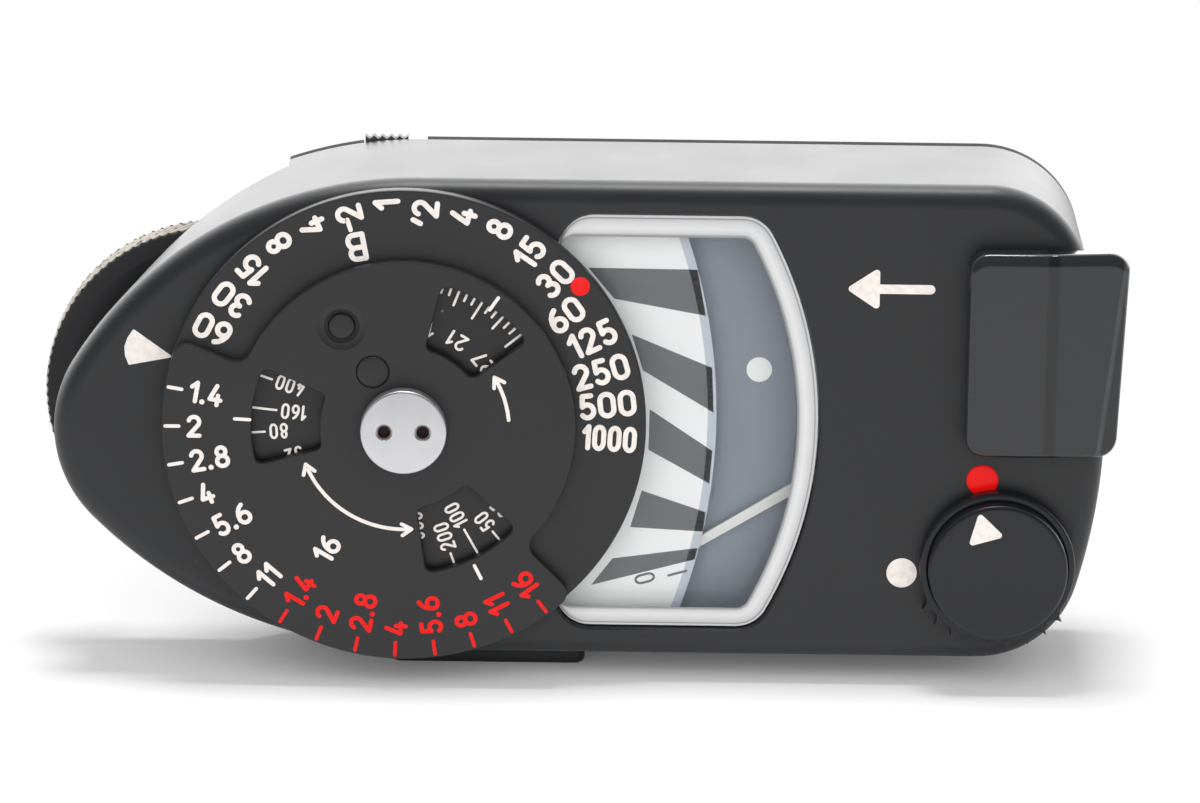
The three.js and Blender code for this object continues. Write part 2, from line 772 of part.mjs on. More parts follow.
function addDial() {
  const group = groupAt(dialX, 0);
  const bushInner = spindle.radius + running;
  const bushOuter = bushInner + spindle.bushWall;
  const flangeTop = coverInside - seat;
  const flangeBottom = flangeTop - spindle.bushFlangeHeight;
  const bush = turned([
    [bushInner, coverInside - spindle.bushDrop],
    [bushOuter, coverInside - spindle.bushDrop],
    [bushOuter, flangeBottom],
    [spindle.bushFlange, flangeBottom],
    [spindle.bushFlange, flangeTop],
    [bushOuter, flangeTop],
    [bushOuter, coverTop],
    [bushInner, coverTop],
    [bushInner, coverInside - spindle.bushDrop],
  ]);
  addPiece(group, "dial_bush", bush, brass);

  const bore = rod(0, 0, spindle.radius + running, gearBottom - overrun, apertureTop + overrun);
  const stemHole = nut.stem + running;
  const spindleTop = apertureTop - washer.depth;
  const spindleSolid = turned([
    [0, nosePlateBottom + seat],
    [spindle.foot, nosePlateBottom + seat],
    [spindle.foot, nosePlateTop + fit],
    [spindle.radius, nosePlateTop + fit],
    [spindle.radius, spindleTop],
    [stemHole, spindleTop],
    [stemHole, spindleTop - nut.stemLength],
    [0, spindleTop - nut.stemLength],
  ]);
  addPiece(group, "dial_spindle", spindleSolid, steel);
  addPiece(group, "dial_gear", cut(plate(gearPlan(gear.dialTeeth, 0), gearBottom, gearTop), bore), brass);

  const shutterDisc = cut(
    rod(0, 0, dialRadius, shutterBottom, shutterTop, largeSides),
    rod(0, 0, dial.recess, shutterBottom + dial.floor, shutterTop + overrun, largeSides),
    bore,
  );
  addPiece(group, "shutter_speed_disc", shutterDisc, discBlack);
  const filmDisc = cut(rod(0, 0, dial.recess - fit, filmBottom, filmTop, largeSides), bore);
  addPiece(group, "film_speed_disc", filmDisc, black);

  let aperture = plate(aperturePlan(), apertureBottom, apertureTop);
  for (const at of readingWindow.atDegrees)
    aperture = cut(
      aperture,
      sector(
        readingWindow.inner,
        readingWindow.outer,
        at,
        readingWindow.spanDegrees,
        readingWindow.steps,
        apertureBottom - overrun,
        apertureTop + overrun,
      ),
    );
  const [lockX, lockY] = polar(lockButton.reach, lockButton.atDegrees);
  const [rivetX, rivetY] = polar(rivet.reach, rivet.atDegrees);
  const low = apertureBottom - overrun;
  const high = apertureTop + overrun;
  aperture = cut(
    aperture,
    bore,
    rod(0, 0, washer.outer + running, apertureTop - washer.depth, high),
    rod(lockX, lockY, lockButton.radius + running, low, high, smallSides),
    rod(lockX, lockY, lockButton.well, apertureTop - lockButton.wellDepth, high, smallSides),
    rod(rivetX, rivetY, rivet.radius + running, low, high, smallSides),
  );
  addPiece(group, "aperture_disc", aperture, discBlack);
  const buttonBottom = filmTop + lockButton.travel + seat;
  const buttonTop = apertureTop - lockButton.wellDepth + seat;
  const button = rod(lockX, lockY, lockButton.radius, buttonBottom, buttonTop, smallSides);
  addPiece(group, "lock_button", button, black);
  const rivetSolid = rod(rivetX, rivetY, rivet.radius, apertureBottom, apertureTop, smallSides);
  addPiece(group, "disc_rivet", rivetSolid, black);

  const washerBottom = apertureTop - washer.depth + seat / 2;
  const washerSolid = cut(rod(0, 0, washer.outer, washerBottom, washerBottom + washer.thickness), bore);
  addPiece(group, "friction_washer", washerSolid, steel);

  const nutBottom = apertureTop + seat;
  let nutSolid = turned([
    [0, spindleTop - nut.stemLength + seat],
    [nut.stem, spindleTop - nut.stemLength + seat],
    [nut.stem, nutBottom],
    [nut.radius, nutBottom],
    [nut.radius, nutBottom + nut.height - nut.edge],
    [nut.radius - nut.edge, nutBottom + nut.height],
    [0, nutBottom + nut.height],
  ]);
  const holeBottom = nutBottom + nut.height - nut.holeDepth;
  const holeTop = apertureTop + nut.height + overrun;
  for (const x of [-nut.spacing / 2, nut.spacing / 2])
    nutSolid = cut(nutSolid, rod(x, 0, nut.hole, holeBottom, holeTop, smallSides));
  addPiece(group, "spanner_nut", nutSolid, satinSteel);
}

// Scale window: glass, striped panel over the needle, and the slate plate under it.
const stripePanel = { thickness: 0.3, edgeReach: 20.5, edgeRadius: 45, inset: 0.4 };
const glassBottom = coverInside - scaleWindow.flange;
const panelTop = glassBottom - seat;

function addScaleWindow() {
  const flangeTop = coverInside - seat;
  const side = running;
  const glassTop = coverTop - seat;
  const pane = lofted([
    [windowPlan(-scaleWindow.flange), glassBottom],
    [windowPlan(-scaleWindow.flange), flangeTop],
    [windowPlan(side), flangeTop],
    [windowPlan(side), glassTop - scaleWindow.bevelDrop],
    [windowPlan(side + scaleWindow.bevel), glassTop],
  ]);
  addPiece(part, "window_glass", pane, glass);

  const centreX = dialX + stripePanel.edgeReach - stripePanel.edgeRadius;
  const left = plate(windowPlan(-stripePanel.inset), panelTop - stripePanel.thickness, panelTop);
  const round = rod(centreX, 0, stripePanel.edgeRadius, coverBottom, coverTop, 6 * roundSides);
  addPiece(part, "stripe_panel", left.intersect(round), white);

  const ear = block(
    [dialX + windowReach - overrun, -scalePlate.earWidth / 2, scalePlateBottom],
    [dialX + scalePlate.earReach, scalePlate.earWidth / 2, scalePlateTop],
  );
  const backing = plate(windowPlan(-scalePlate.grow), scalePlateBottom, scalePlateTop);
  addPiece(part, "scale_plate", join(backing, ear), slate);
}

// Moving-coil movement: a core magnet inside a soft iron ring, with the coil turning between them.
const movement = {
  yokeOuter: 5.6,
  yokeInner: 4.7,
  yokeHeight: 5,
  coreRadius: 2.3,
  coreHeight: 3.8,
  barWidth: 1.2,
  barHeight: 1.2,
  coilInner: 2.75,
  coilOuter: 3.7,
  coilWidth: 1.1,
  coilBar: 0.4,
  staff: 0.35,
  jewel: 0.5,
  bridgeWidth: 3,
  bridge: 0.7,
};
const needle = {
  length: 18.2,
  thickness: 0.3,
  rootWidth: 0.85,
  tipWidth: 0.6,
  hub: 0.95,
  tail: 3,
  tailWidth: 1.3,
  restDegrees: 211.5,
  sweepDegrees: 74.3,
  zeroDegrees: 6.3,
  underPanel: 0.3,
};
const hairspring = { inner: 0.9, outer: 2.5, width: 0.22, height: 0.3, turns: 3, steps: 16 };
const needleTop = panelTop - stripePanel.thickness - needle.underPanel;
const needleBottom = needleTop - needle.thickness;
const bridgeTop = scalePlateBottom - seat;
const bridgeBottom = bridgeTop - movement.bridge;
const yokeTop = bridgeBottom - seat;
const yokeBottom = yokeTop - movement.yokeHeight;
const lowerBridgeTop = yokeBottom - seat;

function addMovement() {
  const group = groupAt(pivotX, 0);
  const yoke = cut(
    rod(0, 0, movement.yokeOuter, yokeBottom, yokeTop),
    rod(0, 0, movement.yokeInner, yokeBottom - overrun, yokeTop + overrun),
  );
  addPiece(group, "meter_yoke", yoke, steel);

  // The core is held across the ring, square to the middle of the coil's swing.
  const middle = radians(needle.restDegrees + needle.zeroDegrees - needle.sweepDegrees / 2);
  const coreMiddle = (yokeBottom + yokeTop) / 2;
  const halfCore = movement.coreHeight / 2;
  const core = rod(0, 0, movement.coreRadius, coreMiddle - halfCore, coreMiddle + halfCore);
  const barReach = movement.yokeInner - seat;
  const bar = block(
    [-movement.barWidth / 2, -barReach, coreMiddle - movement.barHeight / 2],
    [movement.barWidth / 2, barReach, coreMiddle + movement.barHeight / 2],
  ).rotate([0, 0, THREE.MathUtils.radToDeg(middle)]);
  addPiece(group, "core_magnet", join(core, bar), steel);

  // The coil's frame, with a stub staff at each end.
  const halfCoil = halfCore + fit;
  const outerLoop = block(
    [-movement.coilOuter, -movement.coilWidth / 2, coreMiddle - halfCoil - movement.coilBar],
    [movement.coilOuter, movement.coilWidth / 2, coreMiddle + halfCoil + movement.coilBar],
  );
  const innerLoop = block(
    [-movement.coilInner, -movement.coilWidth, coreMiddle - halfCoil],
    [movement.coilInner, movement.coilWidth, coreMiddle + halfCoil],
  );
  const staff = (z0, z1) => rod(0, 0, movement.staff, z0, z1, smallSides);
  const staffTop = staff(coreMiddle + halfCoil + seat, needleTop);
  const staffBottom = staff(lowerBridgeTop - movement.bridge / 2, coreMiddle - halfCoil - seat);
  const loop = cut(outerLoop, innerLoop).rotate([0, 0, needle.restDegrees]);
  addPiece(group, "moving_coil", join(loop, staffTop, staffBottom), copper);

  const strap = (z0, z1) => {
    const reach = movement.yokeOuter;
    const bar = block([-reach, -movement.bridgeWidth / 2, z0], [reach, movement.bridgeWidth / 2, z1]);
    return bar.rotate([0, 0, THREE.MathUtils.radToDeg(middle) + 90]);
  };
  const jewel = (z0, z1) => rod(0, 0, movement.jewel, z0, z1, smallSides);
  const upper = cut(strap(bridgeBottom, bridgeTop), jewel(bridgeBottom - overrun, bridgeTop + overrun));
  addPiece(group, "upper_bridge", upper, brass);
  const lowerBottom = lowerBridgeTop - movement.bridge;
  const pillar = rod(0, 0, movement.coilOuter, baseTop + seat, lowerBottom + seat);
  const lower = cut(
    join(strap(lowerBottom, lowerBridgeTop), pillar),
    jewel(lowerBridgeTop - movement.bridge / 2 - seat, lowerBridgeTop + overrun),
  );
  addPiece(group, "lower_bridge", lower, brass);

  // A flat spiral between the bridge and the needle.
  const inner = [];
  const outer = [];
  const count = hairspring.turns * hairspring.steps;
  for (let i = 0; i <= count; i++) {
    const reach = hairspring.inner + ((hairspring.outer - hairspring.inner) * i) / count;
    const angle = (turn * i) / hairspring.steps;
    const out = new THREE.Vector2(Math.cos(angle), Math.sin(angle));
    inner.push(out.clone().multiplyScalar(reach - hairspring.width / 2));
    outer.push(out.clone().multiplyScalar(reach + hairspring.width / 2));
  }
  const springBottom = bridgeTop + seat;
  const spiral = plate([...outer, ...inner.reverse()], springBottom, springBottom + hairspring.height);
  addPiece(group, "hairspring", spiral, brass);

  const pointer = [
    [0, needle.rootWidth / 2],
    [0, -needle.rootWidth / 2],
    [needle.length, -needle.tipWidth / 2],
    [needle.length, needle.tipWidth / 2],
  ].map(([x, y]) => new THREE.Vector2(x, y));
  const needleSolid = join(
    plate(pointer.reverse(), needleBottom, needleTop),
    rod(0, 0, needle.hub, needleBottom, needleTop, smallSides),
    block([-needle.tail, -needle.tailWidth / 2, needleBottom], [0, needle.tailWidth / 2, needleTop]),
  ).rotate([0, 0, needle.restDegrees]);
  const eye = rod(0, 0, movement.staff + seat, needleBottom - overrun, needleTop + overrun, smallSides);
  addPiece(group, "needle", cut(needleSolid, eye), white);
}

// Measuring switch on the far end, its carriage under the cover and its return spring.
const carriage = { length: 4, width: 6, thickness: 1, gap: 0.1 };
const returnSpring = { radius: 0.4, wire: 0.12, turns: 6, steps: 8, sides: 5, length: 5 };
const contactBlock = {
  inset: 8.2,
  length: 3,
  width: 2.6,
  leaf: 0.2,
  leafLength: 5.2,
  rise: 1.4,
};

function addSwitch() {
  const bottom = coverTop + dial.gap;
  const top = coverTop + slider.height;
  const x1 = endX + slider.overhang;
  const x0 = x1 - slider.length;
  const plan = roundedRectangle(x0, x1, slider.low, slider.high, slider.corner);
  const creaseX = x1 - slider.crease;
  const side = [
    [x0, bottom],
    [x1, bottom],
    [x1, top - slider.drop],
    [creaseX, top],
    [x0 + slider.edge, top],
    [x0, top - slider.edge],
  ].map(([x, z]) => new THREE.Vector2(x, z));
  const profile = plate(side, -bodyWidth, bodyWidth).rotate([90, 0, 0]);
  const postLow = [postX, postY - slider.postWidth / 2, coverInside - carriage.thickness - fit];
  const post = block(postLow, [postX + slider.postLength, postY + slider.postWidth / 2, bottom + seat]);
  const sliderSolid = join(plate(plan, bottom, top).intersect(profile), post);
  addPiece(part, "measuring_switch", sliderSolid, black);

  const carriageTop = coverInside - carriage.gap;
  const carriageX = postX + slider.postLength / 2;
  const plateSolid = cut(
    block(
      [carriageX - carriage.length / 2, postY - carriage.width / 2, carriageTop - carriage.thickness],
      [carriageX + carriage.length / 2, postY + carriage.width / 2, carriageTop],
    ),
    block(
      [postX - running, postY - slider.postWidth / 2 - running, carriageTop - carriage.thickness - overrun],
      [postX + slider.postLength + running, postY + slider.postWidth / 2 + running, carriageTop + overrun],
    ),
  );
  addPiece(part, "switch_carriage", plateSolid, brass);

  // The spring lies along X between the carriage and the movement's bridge.
  const springX = carriageX - carriage.length / 2 - seat - returnSpring.wire;
  const springZ = carriageTop - carriage.thickness / 2;
  const springSolid = coil(0, 0, -returnSpring.length, 0, returnSpring)
    .rotate([0, 90, 0])
    .translate(springX, postY + carriage.width / 2 - returnSpring.radius - returnSpring.wire, springZ);
  addPiece(part, "return_spring", springSolid, steel);

  const blockX = endX - contactBlock.inset;
  const blockTop = carriageTop - carriage.thickness - contactBlock.rise - contactBlock.leaf - 2 * seat;
  const blockSolid = block(
    [blockX, postY + carriage.width / 2 - contactBlock.width, baseTop + seat],
    [blockX + contactBlock.length, postY + carriage.width / 2, blockTop],
  );
  addPiece(part, "contact_block", blockSolid, laminate);
  const leafY0 = postY + carriage.width / 2 - contactBlock.width + fit;
  const leafY1 = postY + carriage.width / 2 - fit;
  const leafSide = [
    [0, 0],
    [contactBlock.length, 0],
    [contactBlock.leafLength, contactBlock.rise],
    [contactBlock.leafLength, contactBlock.rise + contactBlock.leaf],
    [contactBlock.length, contactBlock.leaf],
    [0, contactBlock.leaf],
  ].map(([x, z]) => new THREE.Vector2(x, z));
  const leaf = plate(leafSide, -leafY1, -leafY0).rotate([90, 0, 0]).translate(blockX, 0, blockTop + seat);
  addPiece(part, "contact_leaf", leaf, copper);
}

// Range knob with teeth on its outer half, and its cam under the cover.
const knobTeeth = {
  fromDegrees: 205,
  stepDegrees: 15,
  count: 9,
  reach: 5.5,
  halfDegrees: 3.6,
  baseHalfDegrees: 6,
};
const cam = { radius: 2.9, thickness: 1.3 };
const detent = { thickness: 0.3, left: 4.6, right: 2, width: 1 };

function addRangeKnob() {
  const group = groupAt(knobX, knobY);
  const bottom = coverTop + dial.gap;
  const rimTop = bottom + knob.rimHeight;
  let solid = join(
    rod(0, 0, knob.rim, bottom, rimTop),
    rod(0, 0, knob.face, rimTop - seat, coverTop + knob.height),
    rod(0, 0, knob.shaft, coverInside - cam.thickness - fit, bottom + seat),
  );
  for (let i = 0; i < knobTeeth.count; i++) {
    const at = knobTeeth.fromDegrees + knobTeeth.stepDegrees * i;
    const inner = knob.face;
    const plan = [
      polar(inner, at - knobTeeth.baseHalfDegrees),
      polar(knobTeeth.reach, at - knobTeeth.halfDegrees),
      polar(knobTeeth.reach, at + knobTeeth.halfDegrees),
      polar(inner, at + knobTeeth.baseHalfDegrees),
    ].map(([x, y]) => new THREE.Vector2(x, y));
    solid = join(solid, plate(plan, bottom, rimTop));
  }
  addPiece(group, "range_knob", solid, black);

  const camTop = coverInside - seat;
  const camBottom = camTop - cam.thickness;
  const camSolid = cut(
    rod(0, 0, cam.radius, camBottom, camTop, smallSides * 2),
    rod(0, 0, knob.shaft + running, camBottom - overrun, camTop + overrun),
  );
  addPiece(group, "range_cam", camSolid, white);

  const springY = -cam.radius - fit / 2;
  const strip = block(
    [-detent.left, springY - detent.thickness, camBottom],
    [detent.right, springY, camBottom + detent.width],
  );
  const tab = block(
    [-detent.left, springY - detent.thickness, camBottom],
    [-detent.left + detent.thickness, springY, coverInside - seat],
  );
  addPiece(group, "detent_spring", join(strip, tab), steel);
}

// Photocell behind its hood in the front wall.
function addPhotocell() {
  const group = groupAt(photocellX, 0, photocellZ);
  const hoodFront = -halfWidth - photocell.hoodDepth;
  const hoodBack = -halfWidth - seat;
  const tubeBack = hoodBack + photocell.tubeDepth;
  const acrossY = (points, y0, y1) => plate(points, -y1, -y0).rotate([90, 0, 0]);
  const box = (width, height, corner) =>
    roundedRectangle(-width / 2, width / 2, -height / 2, height / 2, corner);
  const mouth = box(photocell.mouthWidth, photocell.mouthHeight, photocell.corner);
  const hood = cut(
    join(
      acrossY(box(photocell.hoodWidth, photocell.hoodHeight, photocell.corner), hoodFront, hoodBack),
      acrossY(box(photocell.tubeWidth, photocell.tubeHeight, photocell.corner), hoodBack - seat, tubeBack),
    ),
    acrossY(mouth, hoodFront - overrun, tubeBack + overrun),
  );
  addPiece(group, "photocell_hood", hood, black);
  const paneFront = hoodFront + photocell.windowSetBack;
  const pane = box(photocell.mouthWidth - 2 * seat, photocell.mouthHeight - 2 * seat, photocell.corner);
  addPiece(group, "cell_window", acrossY(pane, paneFront, paneFront + photocell.windowDepth), glass);
  const cell = acrossY(
    arc(0, 0, photocell.cellRadius, 0, turn, smallSides).slice(0, -1),
    tubeBack - photocell.cellDepth - fit,
    tubeBack - fit,
  );
  addPiece(group, "photocell", cell, laminate);
}

// Battery, its chamber and lid.
function addBattery() {
  const group = groupAt(batteryX, batteryY);
  const ceiling = chamberTop - battery.wall / 2;
  const chamber = turned([
    [chamberInner, coverBottom],
    [chamberOuter, coverBottom],
    [chamberOuter, chamberTop],
    [0, chamberTop],
    [0, ceiling],
    [chamberInner, ceiling],
    [chamberInner, coverBottom],
  ]);
  addPiece(group, "battery_chamber", chamber, black);
  const contactBottom = cellTop + seat;
  const contactTop = contactBottom + contact.thickness;
  const leaf = rod(0, 0, cellRadius * contact.radiusShare, contactBottom, contactTop, smallSides);
  addPiece(group, "battery_contact", leaf, copper);
  addPiece(group, "button_cell", rod(0, 0, cellRadius, cellBottom, cellTop), satinSteel);

  // The lid's spigot enters the chamber. A coin turns it.
  const lidTop = baseBottom + battery.lidThickness;
  const lid = cut(
    join(
      rod(0, 0, lidRadius, baseBottom, lidTop),
      rod(0, 0, chamberInner - fit, lidTop - seat, cellBottom - seat),
    ),
    block(
      [-lidRadius - overrun, -battery.coinSlot / 2, baseBottom - overrun],
      [lidRadius + overrun, battery.coinSlot / 2, baseBottom + battery.coinSlotDepth],
    ),
  );
  addPiece(group, "battery_lid", lid, black);
}

// Battery-check key: a ribbed tab outside, and the plate that holds it inside.
const keySpring = { thickness: 0.2, gap: 0.15 };

function addKey() {
  const group = groupAt(keyX, 0);
  const z0 = baseBottom + running;
  const z1 = z0 + key.thickness;
  const rear = keyRearY + key.proud;
  const tip = [];
  const step = key.length / (2 * key.ribs);
  for (let i = 0; i <= 2 * key.ribs; i++)
    tip.push(new THREE.Vector2(key.length - i * step, rear - (i % 2) * key.ribDepth));
  const front = rear - key.depth;
  const plan = [new THREE.Vector2(0, front), new THREE.Vector2(key.length, front), ...tip];
  const innerTop = coverBottom + key.innerHeight;
  const inner = block([0, front, z0], [key.length, front + key.innerDepth, innerTop]);
  addPiece(group, "battery_check_key", join(plate(plan, z0, z1), inner), black);
  const leafBottom = innerTop + keySpring.gap;
  const leaf = block(
    [0, front, leafBottom],
    [key.length, front + key.innerDepth + fit, leafBottom + keySpring.thickness],
  );
  addPiece(group, "key_spring", leaf, steel);
}

// Circuit board between the battery and the movement.
const board = {
  length: 10.6,
  halfDepth: 11.6,
  thickness: 0.8,
  endGap: 1,
  postY: 9,
  potRadius: 2.2,
  potHeight: 2.4,
  potY: 5,
  resistorRadius: 0.9,
  resistorLength: 5,
};
board.bottom = baseTop + base.postHeight;
board.right = pivotX - movement.yokeOuter - board.endGap;
board.postX = board.right - board.length / 2;

function addBoard() {
  const top = board.bottom + board.thickness;
  const sheet = block(
    [board.right - board.length, -board.halfDepth, board.bottom],
    [board.right, board.halfDepth, top],
  );
  addPiece(part, "circuit_board", sheet, laminate);
  const potReach = board.potRadius + overrun;
  const potTop = top + seat + board.potHeight;
  const pot = cut(
    rod(0, 0, board.potRadius, top + seat, potTop, smallSides),
    block(
      [-potReach, -screw.slot / 2, potTop - screw.slotDepth],
      [potReach, screw.slot / 2, potTop + overrun],
    ),
  );
  addPiece(part, "calibration_pot", pot.translate(board.postX, board.potY, 0), white);
  const halfResistor = board.resistorLength / 2;
  const resistor = rod(0, 0, board.resistorRadius, -halfResistor, halfResistor, smallSides)
    .rotate([90, 0, 0])
    .translate(board.postX, -board.potY, top + board.resistorRadius + seat);
  addPiece(part, "series_resistor", resistor, copper);
}

addHousing();
addFoot();
addCouplingWheel();
addDial();
addScaleWindow();
addMovement();
addSwitch();
addRangeKnob();
addPhotocell();
addBattery();
addKey();
addBoard();

export default part;
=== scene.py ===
# Looks for a shoe mount light meter: smooth shells, engraved discs, knurl, bevelled glass, finishes.
import math

import bmesh
import bpy
from mathutils import Matrix, Vector
from mathutils.geometry import delaunay_2d_cdt


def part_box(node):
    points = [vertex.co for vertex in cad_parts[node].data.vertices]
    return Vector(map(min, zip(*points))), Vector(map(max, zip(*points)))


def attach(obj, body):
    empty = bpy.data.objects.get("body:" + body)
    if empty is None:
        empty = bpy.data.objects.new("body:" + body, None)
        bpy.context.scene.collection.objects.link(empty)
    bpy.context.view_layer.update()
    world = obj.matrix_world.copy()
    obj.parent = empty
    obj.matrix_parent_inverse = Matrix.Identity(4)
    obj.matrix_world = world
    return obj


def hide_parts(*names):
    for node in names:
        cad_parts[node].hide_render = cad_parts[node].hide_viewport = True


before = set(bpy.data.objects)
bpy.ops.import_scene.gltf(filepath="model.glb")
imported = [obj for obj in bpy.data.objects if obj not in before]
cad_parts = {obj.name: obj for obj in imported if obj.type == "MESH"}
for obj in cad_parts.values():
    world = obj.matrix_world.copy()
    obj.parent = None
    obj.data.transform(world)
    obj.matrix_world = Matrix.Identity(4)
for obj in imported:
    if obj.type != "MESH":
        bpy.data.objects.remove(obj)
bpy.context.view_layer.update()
mm = 0.001  # lengths below are millimetres until a mesh is made
past = 1.0  # how far a cutting shape reaches past a face
lap = 0.1  # how far joined shapes reach into each other, and how far a post ends below what it carries
knee = 0.3  # how far in the middle ring of a broken edge lies, as a share of the edge
print("frame loaded:", len(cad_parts), "nodes")


def boxOf(node):
    low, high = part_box(node)
    return low / mm, high / mm


def middleOf(node):
    low, high = boxOf(node)
    return (low + high) / 2


# Places that the frame gives.
coverLow, coverHigh = boxOf("top_cover")
baseLow, _ = boxOf("base_plate")
noseLow, noseHigh = boxOf("nose_plate")
discLow, discHigh = boxOf("shutter_speed_disc")
apertureLow, apertureHigh = boxOf("aperture_disc")
filmLow, filmHigh = boxOf("film_speed_disc")
nutLow, nutHigh = boxOf("spanner_nut")
wheelLow, wheelHigh = boxOf("coupling_wheel")
glassLow, glassHigh = boxOf("window_glass")
panelLow, panelHigh = boxOf("stripe_panel")
slateLow, slateHigh = boxOf("scale_plate")
switchLow, switchHigh = boxOf("measuring_switch")
knobLow, knobHigh = boxOf("range_knob")
hoodLow, hoodHigh = boxOf("photocell_hood")
lidLow, lidHigh = boxOf("battery_lid")
footLow, footHigh = boxOf("shoe_foot")
keyLow, keyHigh = boxOf("battery_check_key")
dialX = (discLow.x + discHigh.x) / 2
wheelX = (wheelLow.x + wheelHigh.x) / 2
roof = coverHigh.z


def pick(look, words):
    return [look[word] for word in words.split()]


def linked(name, data):
    ob = bpy.data.objects.new(name, data)
    bpy.context.scene.collection.objects.link(ob)
    return ob


# Camera. It looks down at the dial from in front, with the rear wall foreshortened above it.
view = {"tilt": 16.0, "distance": 450, "pixelsPerMm": 15.007, "aim": (-10.986, 1.499, 16.6), "roll": 0.737}


def addCamera():
    data = bpy.data.cameras.new("photoCamera")
    camera = linked("photoCamera", data)
    tilt, roll = math.radians(view["tilt"]), math.radians(view["roll"])
    back = Vector((0, math.sin(tilt), math.cos(tilt)))
    rise = Vector((0, math.cos(tilt), -math.sin(tilt)))
    level = Vector((1, 0, 0))
    right = level * math.cos(roll) + rise * math.sin(roll)
    up = rise * math.cos(roll) - level * math.sin(roll)
    camera.location = (Vector(view["aim"]) + back * view["distance"]) * mm
    camera.rotation_euler = Matrix((right, up, back)).transposed().to_euler()
    pixelWidth = 1200
    data.lens = data.sensor_width * view["pixelsPerMm"] * view["distance"] / pixelWidth
    data.clip_start = 0.01
    data.clip_end = 20
    bpy.context.scene.camera = camera


addCamera()
print("camera placed")


# Outlines

def arcPoints(x, y, radius, start, end, steps):
    angles = [math.radians(start + (end - start) * i / steps) for i in range(steps + 1)]
    return [Vector((x + radius * math.cos(a), y + radius * math.sin(a))) for a in angles]


def circle(x, y, radius, steps=96):
    return arcPoints(x, y, radius, 0, 360, steps)[:-1]


def polar(reach, degrees, x=0.0, y=0.0):
    angle = math.radians(degrees)
    return Vector((x + reach * math.cos(angle), y + reach * math.sin(angle)))


def arcPairs(*arc):
    return [(p.x, p.y) for p in arcPoints(*arc)]


def quarter(edge, steps):
    # a rounded edge, from the side to the face: how far in and how far below the face
    angles = [math.pi / 2 * step / steps for step in range(steps + 1)]
    return [(edge * (1 - math.cos(a)), edge * (1 - math.sin(a))) for a in angles]


def distinct(points, near=1e-4):
    return [p for i, p in enumerate(points) if (p - points[i - 1]).length > near]


def closed(upper, lower=None):
    # two halves of a plan; the lower one comes as its mirror image
    return distinct(upper + [Vector((p.x, -p.y)) for p in reversed(lower or upper)])


def roundedBox(x0, x1, y0, y1, corner, steps=8):
    return distinct(
        arcPoints(x1 - corner, y0 + corner, corner, -90, 0, steps)
        + arcPoints(x1 - corner, y1 - corner, corner, 0, 90, steps)
        + arcPoints(x0 + corner, y1 - corner, corner, 90, 180, steps)
        + arcPoints(x0 + corner, y0 + corner, corner, 180, 270, steps)
    )


housing = {
    "tipRadius": 8.8, "tipOffset": 1.1, "endRadius": 41, "corner": 6.9, "straightFrom": 0.7, "edge": 1.4,
    "edgeSteps": 12, "wall": 1.1, "roof": 1.2, "noseCut": -32.2, "boss": 1.6, "screwHole": 0.67,
    "visor": [(0, 0.17), (0.2, 0.345), (0.42, 0.57), (0.5, 0.7), (0.57, 0.83), (0.63, 0.925), (0.7, 0.98)],
    "screwDepth": 5, "relief": 0.3, "knobHole": 1.42, "bushHole": 3.24, "slot": (4.12, 1.12, 1.42),
    "mouth": (4.92, 3.32, 2),
}


def housingHalf(inset, tipY):
    tip, end, corner = pick(housing, "tipRadius endRadius corner")
    halfWidth = coverHigh.y
    straightX = dialX + housing["straightFrom"]
    run = straightX - coverLow.x - tip
    rise = halfWidth - tipY
    side = (run**2 + rise**2 - tip**2) / (2 * (rise - tip))
    sideY = halfWidth - side
    tipAngle = math.degrees(math.atan2(tipY - sideY, -run))
    bowX = coverHigh.x - end
    cornerY = halfWidth - corner
    cornerX = bowX + math.sqrt((end - corner) ** 2 - cornerY**2)
    cornerAngle = math.degrees(math.atan2(cornerY, cornerX - bowX))
    return (
        arcPoints(bowX, 0, end - inset, 0, cornerAngle, 14)
        + arcPoints(cornerX, cornerY, corner - inset, cornerAngle, 90, 18)
        + arcPoints(straightX, sideY, side - inset, 90, tipAngle, 26)
        + arcPoints(coverLow.x + tip, tipY, tip - inset, tipAngle, 180, 24)
    )


def housingPlan(inset):
    return closed(housingHalf(inset, -housing["tipOffset"]), housingHalf(inset, housing["tipOffset"]))


window = {
    "nearReach": 10.1, "farReach": 27.7, "halfWidth": 14.35, "corner": 2.4, "bevel": 1.42, "drop": 0.34,
    "gap": 0.1, "flange": 0.7, "lip": 0.12, "arris": 0.06, "hollow": 1.25, "steps": 6,
}


def windowPlan(inset, near=0.0):
    corner, far = window["corner"], window["farReach"]
    cornerY = window["halfWidth"] - corner
    cornerX = math.sqrt((far - corner) ** 2 - cornerY**2)
    cornerAngle = math.degrees(math.atan2(cornerY, cornerX))
    nearX = dialX + window["nearReach"] + corner - near
    return closed(
        arcPoints(dialX, 0, far - inset, 0, cornerAngle, 30)
        + arcPoints(dialX + cornerX, cornerY, corner - inset, cornerAngle, 90, 8)
        + arcPoints(nearX, cornerY, corner - inset, 90, 180, 10)
    )


# Meshes

def newObject(name, vertices, faces):
    mesh = bpy.data.meshes.new(name)
    mesh.from_pydata([Vector(v) * mm for v in vertices], [], faces)
    return linked(name, mesh)


def outward(ob, merge=1e-7):
    # doubles are merged first, then the closed shell's faces are turned out
    shape = bmesh.new()
    shape.from_mesh(ob.data)
    bmesh.ops.remove_doubles(shape, verts=shape.verts, dist=merge)
    bmesh.ops.dissolve_degenerate(shape, edges=shape.edges, dist=merge)
    bmesh.ops.recalc_face_normals(shape, faces=shape.faces)
    shape.to_mesh(ob.data)
    shape.free()
    return ob


